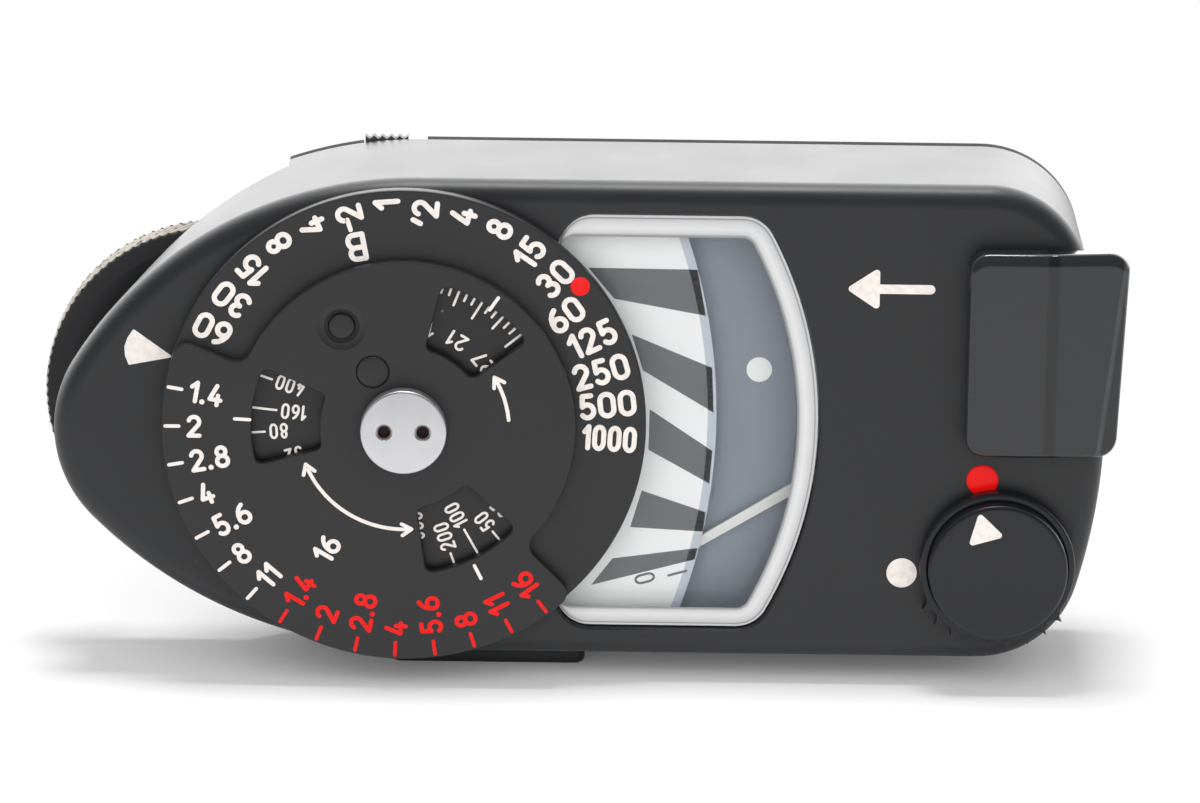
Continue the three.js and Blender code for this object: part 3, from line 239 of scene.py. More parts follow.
def loft(name, rings):
    # rings are lists of equal length, lowest first
    count = len(rings[0])
    vertices = [p for ring in rings for p in ring]
    faces = [tuple(reversed(range(count)))]
    for level in range(len(rings) - 1):
        start = level * count
        for i in range(count):
            after = (i + 1) % count
            faces.append((start + i, start + after, start + count + after, start + count + i))
    faces.append(tuple(range((len(rings) - 1) * count, len(rings) * count)))
    return newObject(name, vertices, faces)


def ringAt(outline, z):
    return [(p.x, p.y, z) for p in outline]


def slab(name, outline, z0, z1):
    return loft(name, [ringAt(outline, z0), ringAt(outline, z1)])


def block(name, low, high):
    corners = [(low[0], low[1]), (high[0], low[1]), (high[0], high[1]), (low[0], high[1])]
    return slab(name, [Vector(c) for c in corners], low[2], high[2])


def rod(name, at, radius, z0, z1, steps=32):
    return slab(name, circle(at[0], at[1], radius, steps), z0, z1)


def edgedSlab(name, plan, low, high, under=0.0, over=0.0):
    # a plan raised between two heights, with a broken edge below or above
    first, last = under * knee, over * knee
    rings = [(under, low), (first, low + first), (0, low + under)] if under else [(0, low)]
    rings += [(0, high - over), (last, high - last), (over, high)] if over else [(0, high)]
    return loft(name, [ringAt(plan(inset), z) for inset, z in rings])


def opening(plan, low, high, lip):
    # what is taken out for an opening whose upper edge is broken
    rings = [(0, low), (0, high - lip), (lip, high), (lip, high + past)]
    return loft("opening", [ringAt(plan(grow), z) for grow, z in rings])


def turned(name, profile, x=0.0, y=0.0, steps=96):
    # the profile runs from the axis to the axis, or closes on itself, as (radius, height)
    vertices, rows, faces = [], [], []
    closed = profile[0] == profile[-1]
    for radius, z in profile[:-1] if closed else profile:
        start = len(vertices)
        if radius == 0:
            vertices.append((x, y, z))
            rows.append([start] * steps)
        else:
            vertices += ringAt(circle(x, y, radius, steps), z)
            rows.append(list(range(start, start + steps)))
    if closed:
        rows.append(rows[0])
    for lower, upper in zip(rows, rows[1:]):
        for i in range(steps):
            after = (i + 1) % steps
            corners = [lower[i], lower[after], upper[after], upper[i]]
            face = [v for k, v in enumerate(corners) if v not in corners[:k]]
            if len(face) > 2:
                faces.append(face)
    return outward(newObject(name, vertices, faces))


def plain(ob):
    # the evaluated result becomes the mesh, and no modifier stays
    made = bpy.data.meshes.new_from_object(ob.evaluated_get(bpy.context.evaluated_depsgraph_get()))
    made.name = ob.name
    ob.modifiers.clear()
    ob.data = made
    return ob


def drop(*objects):
    for ob in objects:
        bpy.data.objects.remove(ob)


def carve(ob, operation, *tools):
    for tool in tools:
        modifier = ob.modifiers.new("carve", "BOOLEAN")
        modifier.operation = operation
        modifier.solver = "EXACT"
        modifier.object = tool
        plain(ob)
        drop(tool)
    return ob


def cut(ob, *tools):
    return carve(ob, "DIFFERENCE", *tools)


def join(ob, *others):
    return carve(ob, "UNION", *others)


def smooth(ob, angle=32):
    # flat faces keep flat shading beside round ones
    ob.data.shade_smooth()
    ob.data.set_sharp_from_angle(angle=math.radians(angle))
    modifier = ob.modifiers.new("even", "WEIGHTED_NORMAL")
    modifier.keep_sharp = True
    modifier.weight = 80
    return plain(ob)


def mount(ob, body, slot, *nodes):
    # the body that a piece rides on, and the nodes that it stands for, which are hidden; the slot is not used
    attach(ob, body)
    if nodes:
        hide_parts(*nodes)


def settle(ob, body, slot, finish, *nodes, angle=32):
    smooth(ob, angle)
    ob.data.materials.clear()
    ob.data.materials.append(finishes[finish])
    mount(ob, body, slot, *nodes)


def roundedProfile(radius, low, high, edge, steps=4, foot=0.0):
    # half of a turned disc with its edges rounded, from the axis below to the axis above
    under = foot or edge
    points = [(0, low), (radius - under, low)]
    points += arcPairs(radius - under, low + under, under, -90, 0, steps)[1:]
    points += arcPairs(radius - edge, high - edge, edge, 0, 90, steps)
    return points + [(0, high)]


# Node trees

def arithmetic(operation, swapped=False):
    def apply(self, other):
        values = (other, self) if swapped else (self, other)
        return self.nodes.maths(operation, *values)

    return apply


class Channel:  # a node's output, with arithmetic
    def __init__(self, nodes, socket):
        self.nodes = nodes
        self.socket = socket

    __add__ = arithmetic("ADD")
    __radd__ = arithmetic("ADD", True)
    __sub__ = arithmetic("SUBTRACT")
    __rsub__ = arithmetic("SUBTRACT", True)
    __mul__ = arithmetic("MULTIPLY")
    __truediv__ = arithmetic("DIVIDE")
    __gt__ = arithmetic("GREATER_THAN")
    __lt__ = arithmetic("LESS_THAN")


class Nodes:  # a node tree; only the kind of a geometry node is written out in full
    def __init__(self, tree):
        self.tree = tree

    def add(self, kind, settings=None, inputs=None, output=0):
        node = self.tree.nodes.new(kind if kind.startswith("Geometry") else "ShaderNode" + kind)
        for name, value in (settings or {}).items():
            setattr(node, name, value)
        for name, value in (inputs or {}).items():
            if isinstance(value, Channel):
                self.tree.links.new(value.socket, node.inputs[name])
            else:
                node.inputs[name].default_value = value
        return Channel(self, node.outputs[output])

    def maths(self, operation, *values):
        return self.add("Math", {"operation": operation}, dict(enumerate(values)))


class Graph(Nodes):  # a material's or the world's nodes
    def __init__(self, owner, end):
        owner.use_nodes = True
        super().__init__(owner.node_tree)
        self.owner = owner
        self.tree.nodes.clear()
        self.end = self.tree.nodes.new(end)

    def blend(self, factor, first, second):
        return self.add("Mix", {"data_type": "RGBA"}, {0: factor, 6: first, 7: second}, 2)

    def span(self, value, low, high, newLow=0.0, newHigh=1.0):
        settings = {"interpolation_type": "SMOOTHSTEP"}
        return self.add("MapRange", settings, {0: value, 1: low, 2: high, 3: newLow, 4: newHigh})

    def along(self, vector, axis):
        return self.add("SeparateXYZ", None, {0: vector}, axis)

    def noise(self, place, size, detail=2.0):
        # size is the width of a blotch in millimetres
        return self.add("TexNoise", None, {"Vector": place, "Scale": 1 / (size * mm), "Detail": detail})

    def flecks(self, place, gap, size, strength=1.0):
        # spots that lie a gap apart; their size is a share of it
        spots = self.add("TexVoronoi", {"feature": "F1"}, {"Vector": place, "Scale": 1 / (gap * mm)})
        return self.span(spots, 0.0, size, strength, 0.0)

    def bump(self, height, strength, depth=0.01):
        return self.add("Bump", None, {"Height": height, "Strength": strength, "Distance": depth * mm})

    def reach(self, place, axisX):
        # the distance from an upright axis
        local = self.add("Mapping", None, {"Vector": place, "Location": (-axisX * mm, 0, 0)})
        flat = self.add("VectorMath", {"operation": "MULTIPLY"}, {0: local, 1: (1, 1, 0)})
        return self.add("VectorMath", {"operation": "LENGTH"}, {0: flat}, "Value")

    def ramp(self, factor, stops):
        channel = self.add("ValToRGB", None, {0: factor})
        elements = channel.socket.node.color_ramp.elements
        for at, colour in stops[1:-1]:
            elements.new(at).color = colour
        elements[0].color = stops[0][1]
        elements[-1].color = stops[-1][1]
        return channel

    def surface(self, colour, rough, bump, more=None):
        inputs = {"Base Color": colour, "Roughness": rough, "Normal": bump, **(more or {})}
        return self.finish(self.add("BsdfPrincipled", None, inputs))

    def finish(self, shader):
        self.tree.links.new(shader.socket, self.end.inputs["Surface"])
        return self.owner


def newGraph(name):
    graph = Graph(bpy.data.materials.new(name), "ShaderNodeOutputMaterial")
    return graph, graph.add("TexCoord", output="Object")


def tone(red, green, blue):
    # an sRGB colour from 0 to 255, as Blender's linear one
    def linear(v):
        v /= 255
        return v / 12.92 if v <= 0.04045 else ((v + 0.055) / 1.055) ** 2.4

    return (linear(red), linear(green), linear(blue), 1.0)


def shaded(colour, factor):
    return tuple(c * factor for c in colour[:3]) + (1.0,)


# What a coating is like unless its own entry says otherwise. Lengths are in millimetres.
plainCoating = {
    "cloud": 6, "spread": 0.12, "grain": 0.12, "bump": 0.25, "depth": 0.01, "roughSpread": 0.1, "patch": 9,
    "fleckGap": 2.2, "fleck": 0.03, "fleckShare": 0.5, "fleckColour": (150, 148, 144), "metal": 0.0,
    "spec": 0.5, "coat": 0.0, "coatRough": 0.03,
}


def coating(name, colour, own):
    # enamel, moulding or plate: soft clouds in the colour, a fine grain, rubbed flecks and handling marks
    look = {**plainCoating, **own}
    graph, place = newGraph(name)
    cloud = graph.noise(place, look["cloud"], 3)
    grain = graph.noise(place, look["grain"])
    fleck = graph.flecks(place, look["fleckGap"], look["fleck"])
    patch = graph.span(graph.noise(place, look["patch"]), 0.5, 0.62)
    body = tone(*colour)
    shade = graph.blend(cloud, shaded(body, 1 - look["spread"]), shaded(body, 1 + look["spread"]))
    shade = graph.blend(fleck * patch * look["fleckShare"], shade, tone(*look["fleckColour"]))
    rough = look["rough"] + (cloud - 0.5) * look["roughSpread"]
    return graph.surface(shade, rough, graph.bump(grain, look["bump"], look["depth"]), {
        "Metallic": look["metal"], "Specular IOR Level": look["spec"], "Coat Weight": look["coat"],
        "Coat Roughness": look["coatRough"]})


def turnedMetal(name, colour, look):
    # lathe rings about the dial's axis, crossed by fine handling scratches
    graph, place = newGraph(name)
    scale = 1 / (look["ring"] * mm)
    inputs = {"W": graph.reach(place, dialX), "Scale": scale, "Detail": 3}
    rings = graph.add("TexNoise", {"noise_dimensions": "1D"}, inputs)
    haze = graph.noise(place, 0.8, 4)
    shade = graph.blend(rings, shaded(tone(*colour), 0.93), tone(*colour))
    rough = look["rough"] + (haze - 0.5) * 0.15
    return graph.surface(shade, rough, graph.bump(rings, look["bump"], 0.004), {"Metallic": 1.0})


def paintFill(name, colour):
    # paint that fills an engraving: it settles unevenly and picks up a little dirt
    graph, place = newGraph(name)
    dirt = graph.span(graph.noise(place, 0.5, 3), 0.35, 0.75)
    shade = graph.blend(dirt, tone(*colour), shaded(tone(*colour), 0.86))
    return graph.surface(shade, 0.5, graph.bump(graph.noise(place, 0.15), 0.3), {"Specular IOR Level": 0.25})


switchLook = {
    "corner": 1.3, "edge": 0.5, "edgeSteps": 8, "crease": 4.8, "creaseShadeWidth": 0.5, "drop": 0.6, "rear": 1.0,
    "lean": 0.3, "groove": 0.035, "post": (2.0, 2.6), "facet": [(47.52, 10.11), (46.13, -1.76)],
    "facetFall": 0.285, "facetWidth": 3.5, "ridgeHighlightWidth": 0.22, "lift": 0.2, "foot": 0.15,
    "columns": (-0.3, -0.09, 0.09, 0.3), "grooveHalf": 0.1, "rearDepth": 2.0, "facetClear": 0.005,
    "facetHeight": 3,
}


def switchFinish(name):
    # polished black with painted shade and light: a dark line along the crease, a darker field beyond the
    # facet's line and a paler line along the facet's edge; the flecks are wear
    look = switchLook
    graph, place = newGraph(name)
    off = graph.along(place, "X") - (switchHigh.x - look["crease"]) * mm
    # painted shade: a dark line along the crease
    crease = graph.span(off * off, 0.0, (look["creaseShadeWidth"] * mm) ** 2, 0.55, 0.0)
    (xA, yA), (xB, yB) = look["facet"]
    across = Vector((yA - yB, xB - xA, 0)).normalized()
    askew = graph.add("VectorMath", {"operation": "DOT_PRODUCT"}, {0: place, 1: tuple(across)}, "Value")
    askew = askew - across.dot(Vector((dialX + xA, yA, 0))) * mm
    # painted highlight along the facet's edge, and painted shade on the facet beyond it
    ridge = graph.span(askew * askew, 0.0, (look["ridgeHighlightWidth"] * mm) ** 2, 0.5, 0.0)
    facet = graph.span(askew, 0.0, 0.1 * mm, 0.0, 0.35)
    smear = graph.noise(place, 3, 3)
    colour = graph.blend(crease, tone(35, 36, 38), tone(9, 9, 10))
    colour = graph.blend(facet, colour, tone(10, 10, 11))
    colour = graph.blend(ridge * smear * 1.6, colour, tone(74, 76, 80))
    colour = graph.blend(graph.flecks(place, 2.1, 0.02, 0.6), colour, tone(150, 148, 144))
    return graph.surface(colour, 0.1 + smear * 0.08, graph.bump(smear, 0.06))


# How far inside the rim its points are rubbed and its hollows dusty, and what stays plain at both ends.
knurlWear = {"points": (0.17, 0.02), "hollows": (0.28, 0.16), "plainFoot": 0.2, "plainTop": 0.08}


def knurlFinish(name):
    # black anodising, rubbed through to grey on the knurl's points
    graph, place = newGraph(name)
    reach = graph.reach(place, wheelX)
    edge = wheelHigh.x - wheelX
    height = graph.along(place, "Z")
    foot, top = pick(knurlWear, "plainFoot plainTop")
    side = (height > (wheelLow.z + foot) * mm) * (height < (wheelHigh.z - top) * mm)
    points = graph.span(reach, *[(edge - depth) * mm for depth in knurlWear["points"]])
    uneven = graph.span(graph.noise(place, 0.5, 3), 0.22, 0.5)
    rubbed = points * uneven * side
    hollow = graph.span(reach, *[(edge - depth) * mm for depth in knurlWear["hollows"]], 1.0, 0.0) * side
    dusty = graph.blend(hollow * 0.4, tone(45, 45, 47), tone(80, 62, 48))
    colour = graph.blend(rubbed, dusty, tone(166, 160, 150))
    return graph.surface(colour, 0.5 - rubbed * 0.15, graph.bump(graph.noise(place, 0.1), 0.3), {
        "Metallic": rubbed * 0.2, "Specular IOR Level": 0.15})


def clearFinish(name):
    # a clear pane that lets light through straight, with a gloss that rises at grazing angles
    graph, place = newGraph(name)
    through = graph.add("BsdfTransparent", None, {"Color": (0.985, 0.99, 0.99, 1)})
    rough = 0.03 + graph.noise(place, 3, 3) * 0.05
    inputs = {"Base Color": (0.9, 0.92, 0.93, 1), "Roughness": rough, "Metallic": 1.0}
    gloss = graph.add("BsdfPrincipled", None, inputs)
    factor = graph.add("Fresnel", None, {"IOR": 1.45}) * 0.8
    return graph.finish(graph.add("MixShader", None, {0: factor, 1: through, 2: gloss}))


# Shares of the bevel's height and the grey of the painted reflection there: bright and dark lines in place of
# the glass's own reflections.
bevelReflectionTones = [(0.0, 150), (0.12, 226), (0.2, 220), (0.26, 132), (0.33, 190), (0.72, 206), (0.9, 190),
              (0.96, 132), (1.0, 120)]


def bevelFinish(name):
    # painted reflection: the pane's bevel shows bright and dark lines along its edges, set by its height
    graph, place = newGraph(name)
    low = (glassHigh.z - window["drop"] - window["arris"]) * mm
    share = graph.add("MapRange", None, {0: graph.along(place, "Z"), 1: low, 2: glassHigh.z * mm})
    colour = graph.ramp(share, [(at, tone(v, v, v + 1)) for at, v in bevelReflectionTones])
    smear = graph.noise(place, 1.6, 3)
    shade = graph.blend(smear * 0.14, colour, tone(120, 122, 126))
    return graph.surface(shade, 0.08 + smear * 0.05, graph.bump(smear, 0.04, 0.02))


coatings = {
    "enamel": ("satinEnamel", (32, 33, 35), {
        "rough": 0.42, "grain": 0.1, "bump": 0.35, "depth": 0.012, "fleckGap": 3.2, "fleck": 0.02,
        "spec": 0.42}),
    "underEnamel": ("underEnamel", (26, 27, 29), {"rough": 0.38, "grain": 0.16, "bump": 0.3, "fleckGap": 4}),
    "dialEnamel": ("dialEnamel", (35, 35, 37), {
        "rough": 0.48, "grain": 0.08, "bump": 0.3, "fleckGap": 3.6, "fleck": 0.016, "spec": 0.42}),
    "flatBlack": ("flatBlack", (22, 22, 24), {
        "rough": 0.8, "grain": 0.2, "bump": 0.3, "fleckGap": 5, "spec": 0.12}),
    # the spanner holes' fill: dark brown grime that is also painted shade
    "grimeAndShade": ("holeGrime", (46, 26, 16), {"rough": 0.8, "grain": 0.1, "bump": 0.4}),
    "filmEnamel": ("filmEnamel", (20, 20, 22), {"rough": 0.4, "grain": 0.1, "bump": 0.2, "fleckGap": 5}),
    "knobBlack": ("knobBlack", (26, 27, 30), {
        "rough": 0.3, "grain": 0.2, "bump": 0.12, "fleckGap": 1.7, "spec": 0.35}),
    "moulding": ("blackMoulding", (32, 32, 33), {"rough": 0.6, "grain": 0.2, "bump": 0.5}),
    "steel": ("brightSteel", (186, 187, 190), {"rough": 0.3, "metal": 1.0, "grain": 0.3, "spread": 0.05}),
    "nickel": ("satinNickel", (222, 222, 220), {
        "rough": 0.34, "metal": 1.0, "grain": 0.08, "bump": 0.3, "spread": 0.04,
        "fleckColour": (90, 88, 84)}),
    "brass": ("turnedBrass", (201, 168, 98), {"rough": 0.32, "metal": 1.0, "grain": 0.3, "spread": 0.08}),
    "copper": ("copperAlloy", (196, 122, 86), {"rough": 0.35, "metal": 1.0, "grain": 0.1, "spread": 0.1}),
    "magnet": ("sinteredMagnet", (96, 96, 98), {"rough": 0.6, "metal": 0.7, "grain": 0.25, "bump": 0.6}),
    "laminate": ("paperLaminate", (140, 112, 64), {
        "rough": 0.55, "grain": 0.3, "cloud": 1.2, "spread": 0.15}),
    "ceramic": ("glazedCeramic", (188, 132, 104), {"rough": 0.25, "grain": 0.6, "bump": 0.1}),
    "whiteMoulding": ("whiteMoulding", (232, 231, 228), {
        "rough": 0.45, "grain": 0.3, "bump": 0.1, "spread": 0.02}),
    "panel": ("frostedPanel", (252, 252, 251), {
        "rough": 0.5, "grain": 0.4, "bump": 0.05, "cloud": 9, "spread": 0.015, "fleckShare": 0.1}),
    "stripe": ("stripeGrey", (100, 101, 104), {
        "rough": 0.5, "grain": 0.4, "bump": 0.05, "cloud": 3, "spread": 0.1}),
    "panelEdge": ("panelEdge", (196, 203, 213), {"rough": 0.3, "grain": 0.4, "bump": 0.05, "spread": 0.04}),
    "slate": ("slateEnamel", (134, 142, 154), {
        "rough": 0.55, "grain": 0.2, "bump": 0.08, "cloud": 8, "spread": 0.05, "fleckShare": 0.15}),
    "needleWhite": ("needleEnamel", (236, 234, 230), {
        "rough": 0.4, "grain": 0.2, "bump": 0.1, "spread": 0.02}),
    "collector": ("clearCollector", (228, 230, 232), {
        "rough": 0.08, "roughSpread": 0.04, "grain": 0.6, "bump": 0.03, "cloud": 4, "spread": 0.03,
        "fleckShare": 0.2, "coat": 0.4, "coatRough": 0.05}),
    "redDome": ("redDome", (218, 12, 8), {
        "rough": 0.3, "grain": 0.5, "bump": 0.05, "spread": 0.04, "spec": 0.2}),
}
finishes = {key: coating(*entry) for key, entry in coatings.items()}
finishes["white"] = paintFill("whiteFill", (220, 213, 208))
finishes["red"] = paintFill("redFill", (216, 12, 7))
finishes["nut"] = turnedMetal("turnedNickel", (215, 215, 218), {"rough": 0.42, "ring": 0.05, "bump": 0.2})
finishes["switchBlack"] = switchFinish("switchBlack")
finishes["bevel"] = bevelFinish("polishedBevel")
finishes["knurl"] = knurlFinish("knurledBlack")
finishes["clear"] = clearFinish("clearPane")
print("finishes made:", len(finishes))


# Stroke figures. A figure is one unit high and made of lines and arcs, as a pantograph engraves it.
# line: x0, y0, x1, y1   arc: x, y, radiusX, radiusY, from, to   dot: x, y
figures = {
    "0": (0.58, [("arc", 0.29, 0.71, 0.29, 0.29, 0, 180), ("line", 0, 0.71, 0, 0.29),
                 ("arc", 0.29, 0.29, 0.29, 0.29, 180, 360), ("line", 0.58, 0.29, 0.58, 0.71)]),
    "1": (0.26, [("line", 0, 0.74, 0.26, 1), ("line", 0.26, 1, 0.26, 0)]),
    "2": (0.56, [("arc", 0.28, 0.73, 0.27, 0.27, 165, -38), ("line", 0.493, 0.564, 0, 0),
                 ("line", 0, 0, 0.56, 0)]),
    "3": (0.54, [("arc", 0.26, 0.76, 0.24, 0.24, 150, -90), ("arc", 0.26, 0.26, 0.28, 0.26, 90, -150)]),
    "4": (0.56, [("line", 0.28, 1, 0, 0.26), ("line", 0, 0.26, 0.56, 0.26), ("line", 0.40, 0.5, 0.40, 0)]),
    "5": (0.54, [("line", 0.10, 1, 0.48, 1), ("line", 0.10, 1, 0.06, 0.545),
                 ("arc", 0.26, 0.30, 0.28, 0.30, 135, -145)]),
    "6": (0.56, [("arc", 0.28, 0.28, 0.28, 0.28, 0, 360), ("arc", 0.62, 0.30, 0.62, 0.70, 180, 108)]),
    "7": (0.52, [("line", 0, 1, 0.52, 1), ("line", 0.52, 1, 0.16, 0)]),
    "8": (0.56, [("arc", 0.28, 0.77, 0.225, 0.23, 0, 360), ("arc", 0.28, 0.27, 0.28, 0.27, 0, 360)]),
    "9": (0.56, [("arc", 0.28, 0.72, 0.28, 0.28, 0, 360), ("arc", -0.06, 0.70, 0.62, 0.70, 0, -72)]),
    "B": (0.56, [("line", 0, 0, 0, 1), ("line", 0, 1, 0.33, 1), ("arc", 0.33, 0.765, 0.2, 0.235, 90, -90),
                 ("line", 0, 0.53, 0.36, 0.53), ("arc", 0.36, 0.265, 0.2, 0.265, 90, -90),
                 ("line", 0.36, 0, 0, 0)]),
    "-": (0.34, [("line", 0, 0.5, 0.34, 0.5)]),
    "'": (0.05, [("line", 0.10, 1.0, -0.04, 0.66)]),
    ".": (0.0, [("dot", 0, 0.03)]),
}


class Strokes:  # strokes of one paint on one face, each a closed form of its own
    def __init__(self, name, height, proud=0.02):
        self.name = name
        self.height = height
        self.proud = proud
        self.vertices = []
        self.faces = []

    def lay(self, shapes):
        # overlapping shapes become one flat sheet, and the sheet gets a thickness
        corners, loops = [], []
        for shape in shapes:
            loops.append(list(range(len(corners), len(corners) + len(shape))))
            corners += shape
        points, edges, triangles, a, b, within = delaunay_2d_cdt(corners, [], loops, 0, 1e-5)
        kept = []
        for triangle, sources in zip(triangles, within):
            p, q, r = (points[i] for i in triangle)
            turn = (q - p).cross(r - p)
            if sources and abs(turn) > 1e-9:
                kept.append(tuple(triangle) if turn > 0 else tuple(reversed(triangle)))
        used = sorted({i for t in kept for i in t})
        place = {old: new for new, old in enumerate(used)}
        start, count = len(self.vertices), len(used)
        self.vertices += [(points[i].x, points[i].y, self.height + self.proud) for i in used]
        self.vertices += [(points[i].x, points[i].y, self.height - self.proud) for i in used]
        sides = {}
        for t in kept:
            t = [place[i] for i in t]
            self.faces.append(tuple(start + i for i in t))
            self.faces.append(tuple(start + count + i for i in reversed(t)))
            for i in range(3):
                sides[(t[i], t[(i + 1) % 3])] = True
        for i, j in sides:
            if (j, i) not in sides:
                self.faces.append((start + i, start + count + i, start + count + j, start + j))

    def build(self, body, slot, finish):
        settle(newObject(self.name, self.vertices, self.faces), body, slot, finish)


def capsule(p, q, width):
    along = (q - p).normalized()
    side = Vector((-along.y, along.x)) * width / 2
    return [p - side, q - side, q + side, p + side]


def cap(p, width, sides=10):
    return circle(p.x, p.y, width / 2, sides)


def band(points, width):
    # a strip along a smooth run of points
    left, right = [], []
    for i, p in enumerate(points):
        along = (points[min(i + 1, len(points) - 1)] - points[max(i - 1, 0)]).normalized()
        side = Vector((-along.y, along.x)) * width / 2
        left.append(p + side)
        right.append(p - side)
    return right + left[::-1]


def strokeShapes(stroke, width, place):
    kind, numbers = stroke[0], stroke[1:]
    if kind == "dot":
        return [cap(place(*numbers), width * 1.25)]
    if kind == "line":
        p, q = place(*numbers[:2]), place(*numbers[2:])
        return [capsule(p, q, width), cap(p, width), cap(q, width)]
    x, y, radiusX, radiusY, start, end = numbers
    if abs(end - start) >= 360:
        half = (start + end) / 2
        return strokeShapes(("arc", x, y, radiusX, radiusY, start, half), width, place) + strokeShapes(
            ("arc", x, y, radiusX, radiusY, half, end), width, place)
    steps = max(4, math.ceil(abs(end - start) / 18))
    run = []
    for i in range(steps + 1):
        angle = math.radians(start + (end - start) * i / steps)
        run.append(place(x + radiusX * math.cos(angle), y + radiusY * math.sin(angle)))
    return [band(run, width), cap(run[0], width), cap(run[-1], width)]


pointGap = 0.36  # between a decimal point and a figure, for figures of one unit


def textRun(text, look):
    # the width of a word's centre lines and where each figure starts
    size, squeeze, starts, at = look["size"], look.get("squeeze", 1.0), [], 0.0
    for i, letter in enumerate(text):
        if i:
            at += pointGap * size if "." in (letter, text[i - 1]) else look["width"] + look["gap"]
        starts.append(at)
        at += figures[letter][0] * size * squeeze
    return at, starts


def writeText(strokes, text, look, origin, degrees, align="end"):
    # the word runs along a direction, and its end, start or middle lies at the origin
    size, squeeze = look["size"], look.get("squeeze", 1.0)
    length, starts = textRun(text, look)
    shift = {"end": -length, "start": 0.0, "middle": -length / 2}[align]
    turn = math.radians(degrees)
    along, up = Vector((math.cos(turn), math.sin(turn))), Vector((-math.sin(turn), math.cos(turn)))
    for letter, start in zip(text, starts):
        def place(x, y):
            return origin + along * (shift + start + x * size * squeeze) + up * ((y - 0.5) * size)

        shapes = []
        for stroke in figures[letter][1]:
            shapes += strokeShapes(stroke, look["width"], place)
        strokes.lay(shapes)


def writeLine(strokes, points, width):
    shapes = [capsule(p, q, width) for p, q in zip(points, points[1:])] + [cap(p, width) for p in points]
    strokes.lay(shapes)


def roundedShape(points, radius, steps=5):
    # a convex outline, anticlockwise, with its corners rounded
    result = []
    for i, p in enumerate(points):
        before, after = (points[i - 1] - p).normalized(), (points[(i + 1) % len(points)] - p).normalized()
        half = before.angle(after) / 2
        centre = p + (before + after).normalized() * radius / math.sin(half)
        first = centre - (before * radius / math.tan(half) + p)
        second = centre - (after * radius / math.tan(half) + p)
        start = math.degrees(math.atan2(-first.y, -first.x))
        end = math.degrees(math.atan2(-second.y, -second.x))
        if end < start:
            end += 360
        result += arcPoints(centre.x, centre.y, radius, start, end, steps)
    return result


# Housing

screwNames = [n for n in sorted(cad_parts) if "_screw_" in n]
coverScrews = [n for n in screwNames if n.startswith("cover")]
footScrews = [n for n in screwNames if n.startswith("foot")]


def addCover():
    look, low = housing, coverLow.z
    rings = [ringAt(housingPlan(0), low)]
    for inset, fall in quarter(look["edge"], look["edgeSteps"]):
        rings.append(ringAt(housingPlan(inset), roof - fall))
    cover = loft("enamelCover", rings)
    inside, far = roof - look["roof"], coverHigh.y + past
    noseCut, tip = look["noseCut"], coverLow.x
    wallHeight = roof - look["edge"] - low
    side = [(noseCut, low - past)]
    side += [(noseCut + along * (tip - noseCut), low + up * wallHeight) for along, up in look["visor"]]
    side += [(tip - past, side[-1][1]), (tip - past, low - past)]
    visor = outward(loft("visor", [[(x, y, z) for x, z in side] for y in (-far, far)]))
    reliefRadius, reliefTop = wheelHigh.x - wheelX + look["relief"], wheelHigh.z + look["relief"]
    cut(cover, slab("hollow", housingPlan(look["wall"]), low - past, inside), visor,
        rod("relief", (wheelX, 0), reliefRadius, low - past, reliefTop, 128))
    bossAt = [middleOf(n) for n in coverScrews]
    join(cover, *[rod("boss", at, look["boss"], low, slateLow.z - lap) for at in bossAt])
    knobAt, switchAt, hoodAt = middleOf("range_cam"), middleOf("switch_carriage"), middleOf("photocell_hood")
    back, ahead, aside = look["slot"]
    wide, tall, deep = look["mouth"]
    holeRoof = low + look["screwDepth"]
    cut(cover, *[rod("hole", at, look["screwHole"], low - past, holeRoof, 24) for at in bossAt],
        opening(lambda grow: windowPlan(-grow), inside - past, roof, window["lip"]),
        rod("hole", knobAt, look["knobHole"], inside - past, roof + past),
        block("slot", (switchAt.x - back, switchAt.y - aside, inside - past),
              (switchAt.x + ahead, switchAt.y + aside, roof + past)),
        rod("hole", (dialX, 0), look["bushHole"], inside - past, roof + past, 64),
        block("mouth", (hoodAt.x - wide, coverLow.y - past, hoodAt.z - tall),
              (hoodAt.x + wide, coverLow.y + deep, hoodAt.z + tall)))
    settle(cover, "housing", "black_enamel", "enamel", "top_cover", angle=24)


plateLook = {
    "pocketGap": 0.5, "lidGap": 0.12, "keyGap": 0.12, "keyRun": 1.2, "keyRise": 0.03, "countersink": 1.27,
    "sinkDepth": 0.6, "hole": 0.67, "post": 1.2, "postY": 9, "edge": 0.25, "seam": 0.02,
}


def screwCutter(at, low, high):
    wide, hole = plateLook["countersink"], plateLook["hole"]
    return turned("sink", [
        (0, low - past), (wide, low - past), (wide, low), (hole, low + plateLook["sinkDepth"]), (hole, high),
        (0, high)], at.x, at.y, 32)


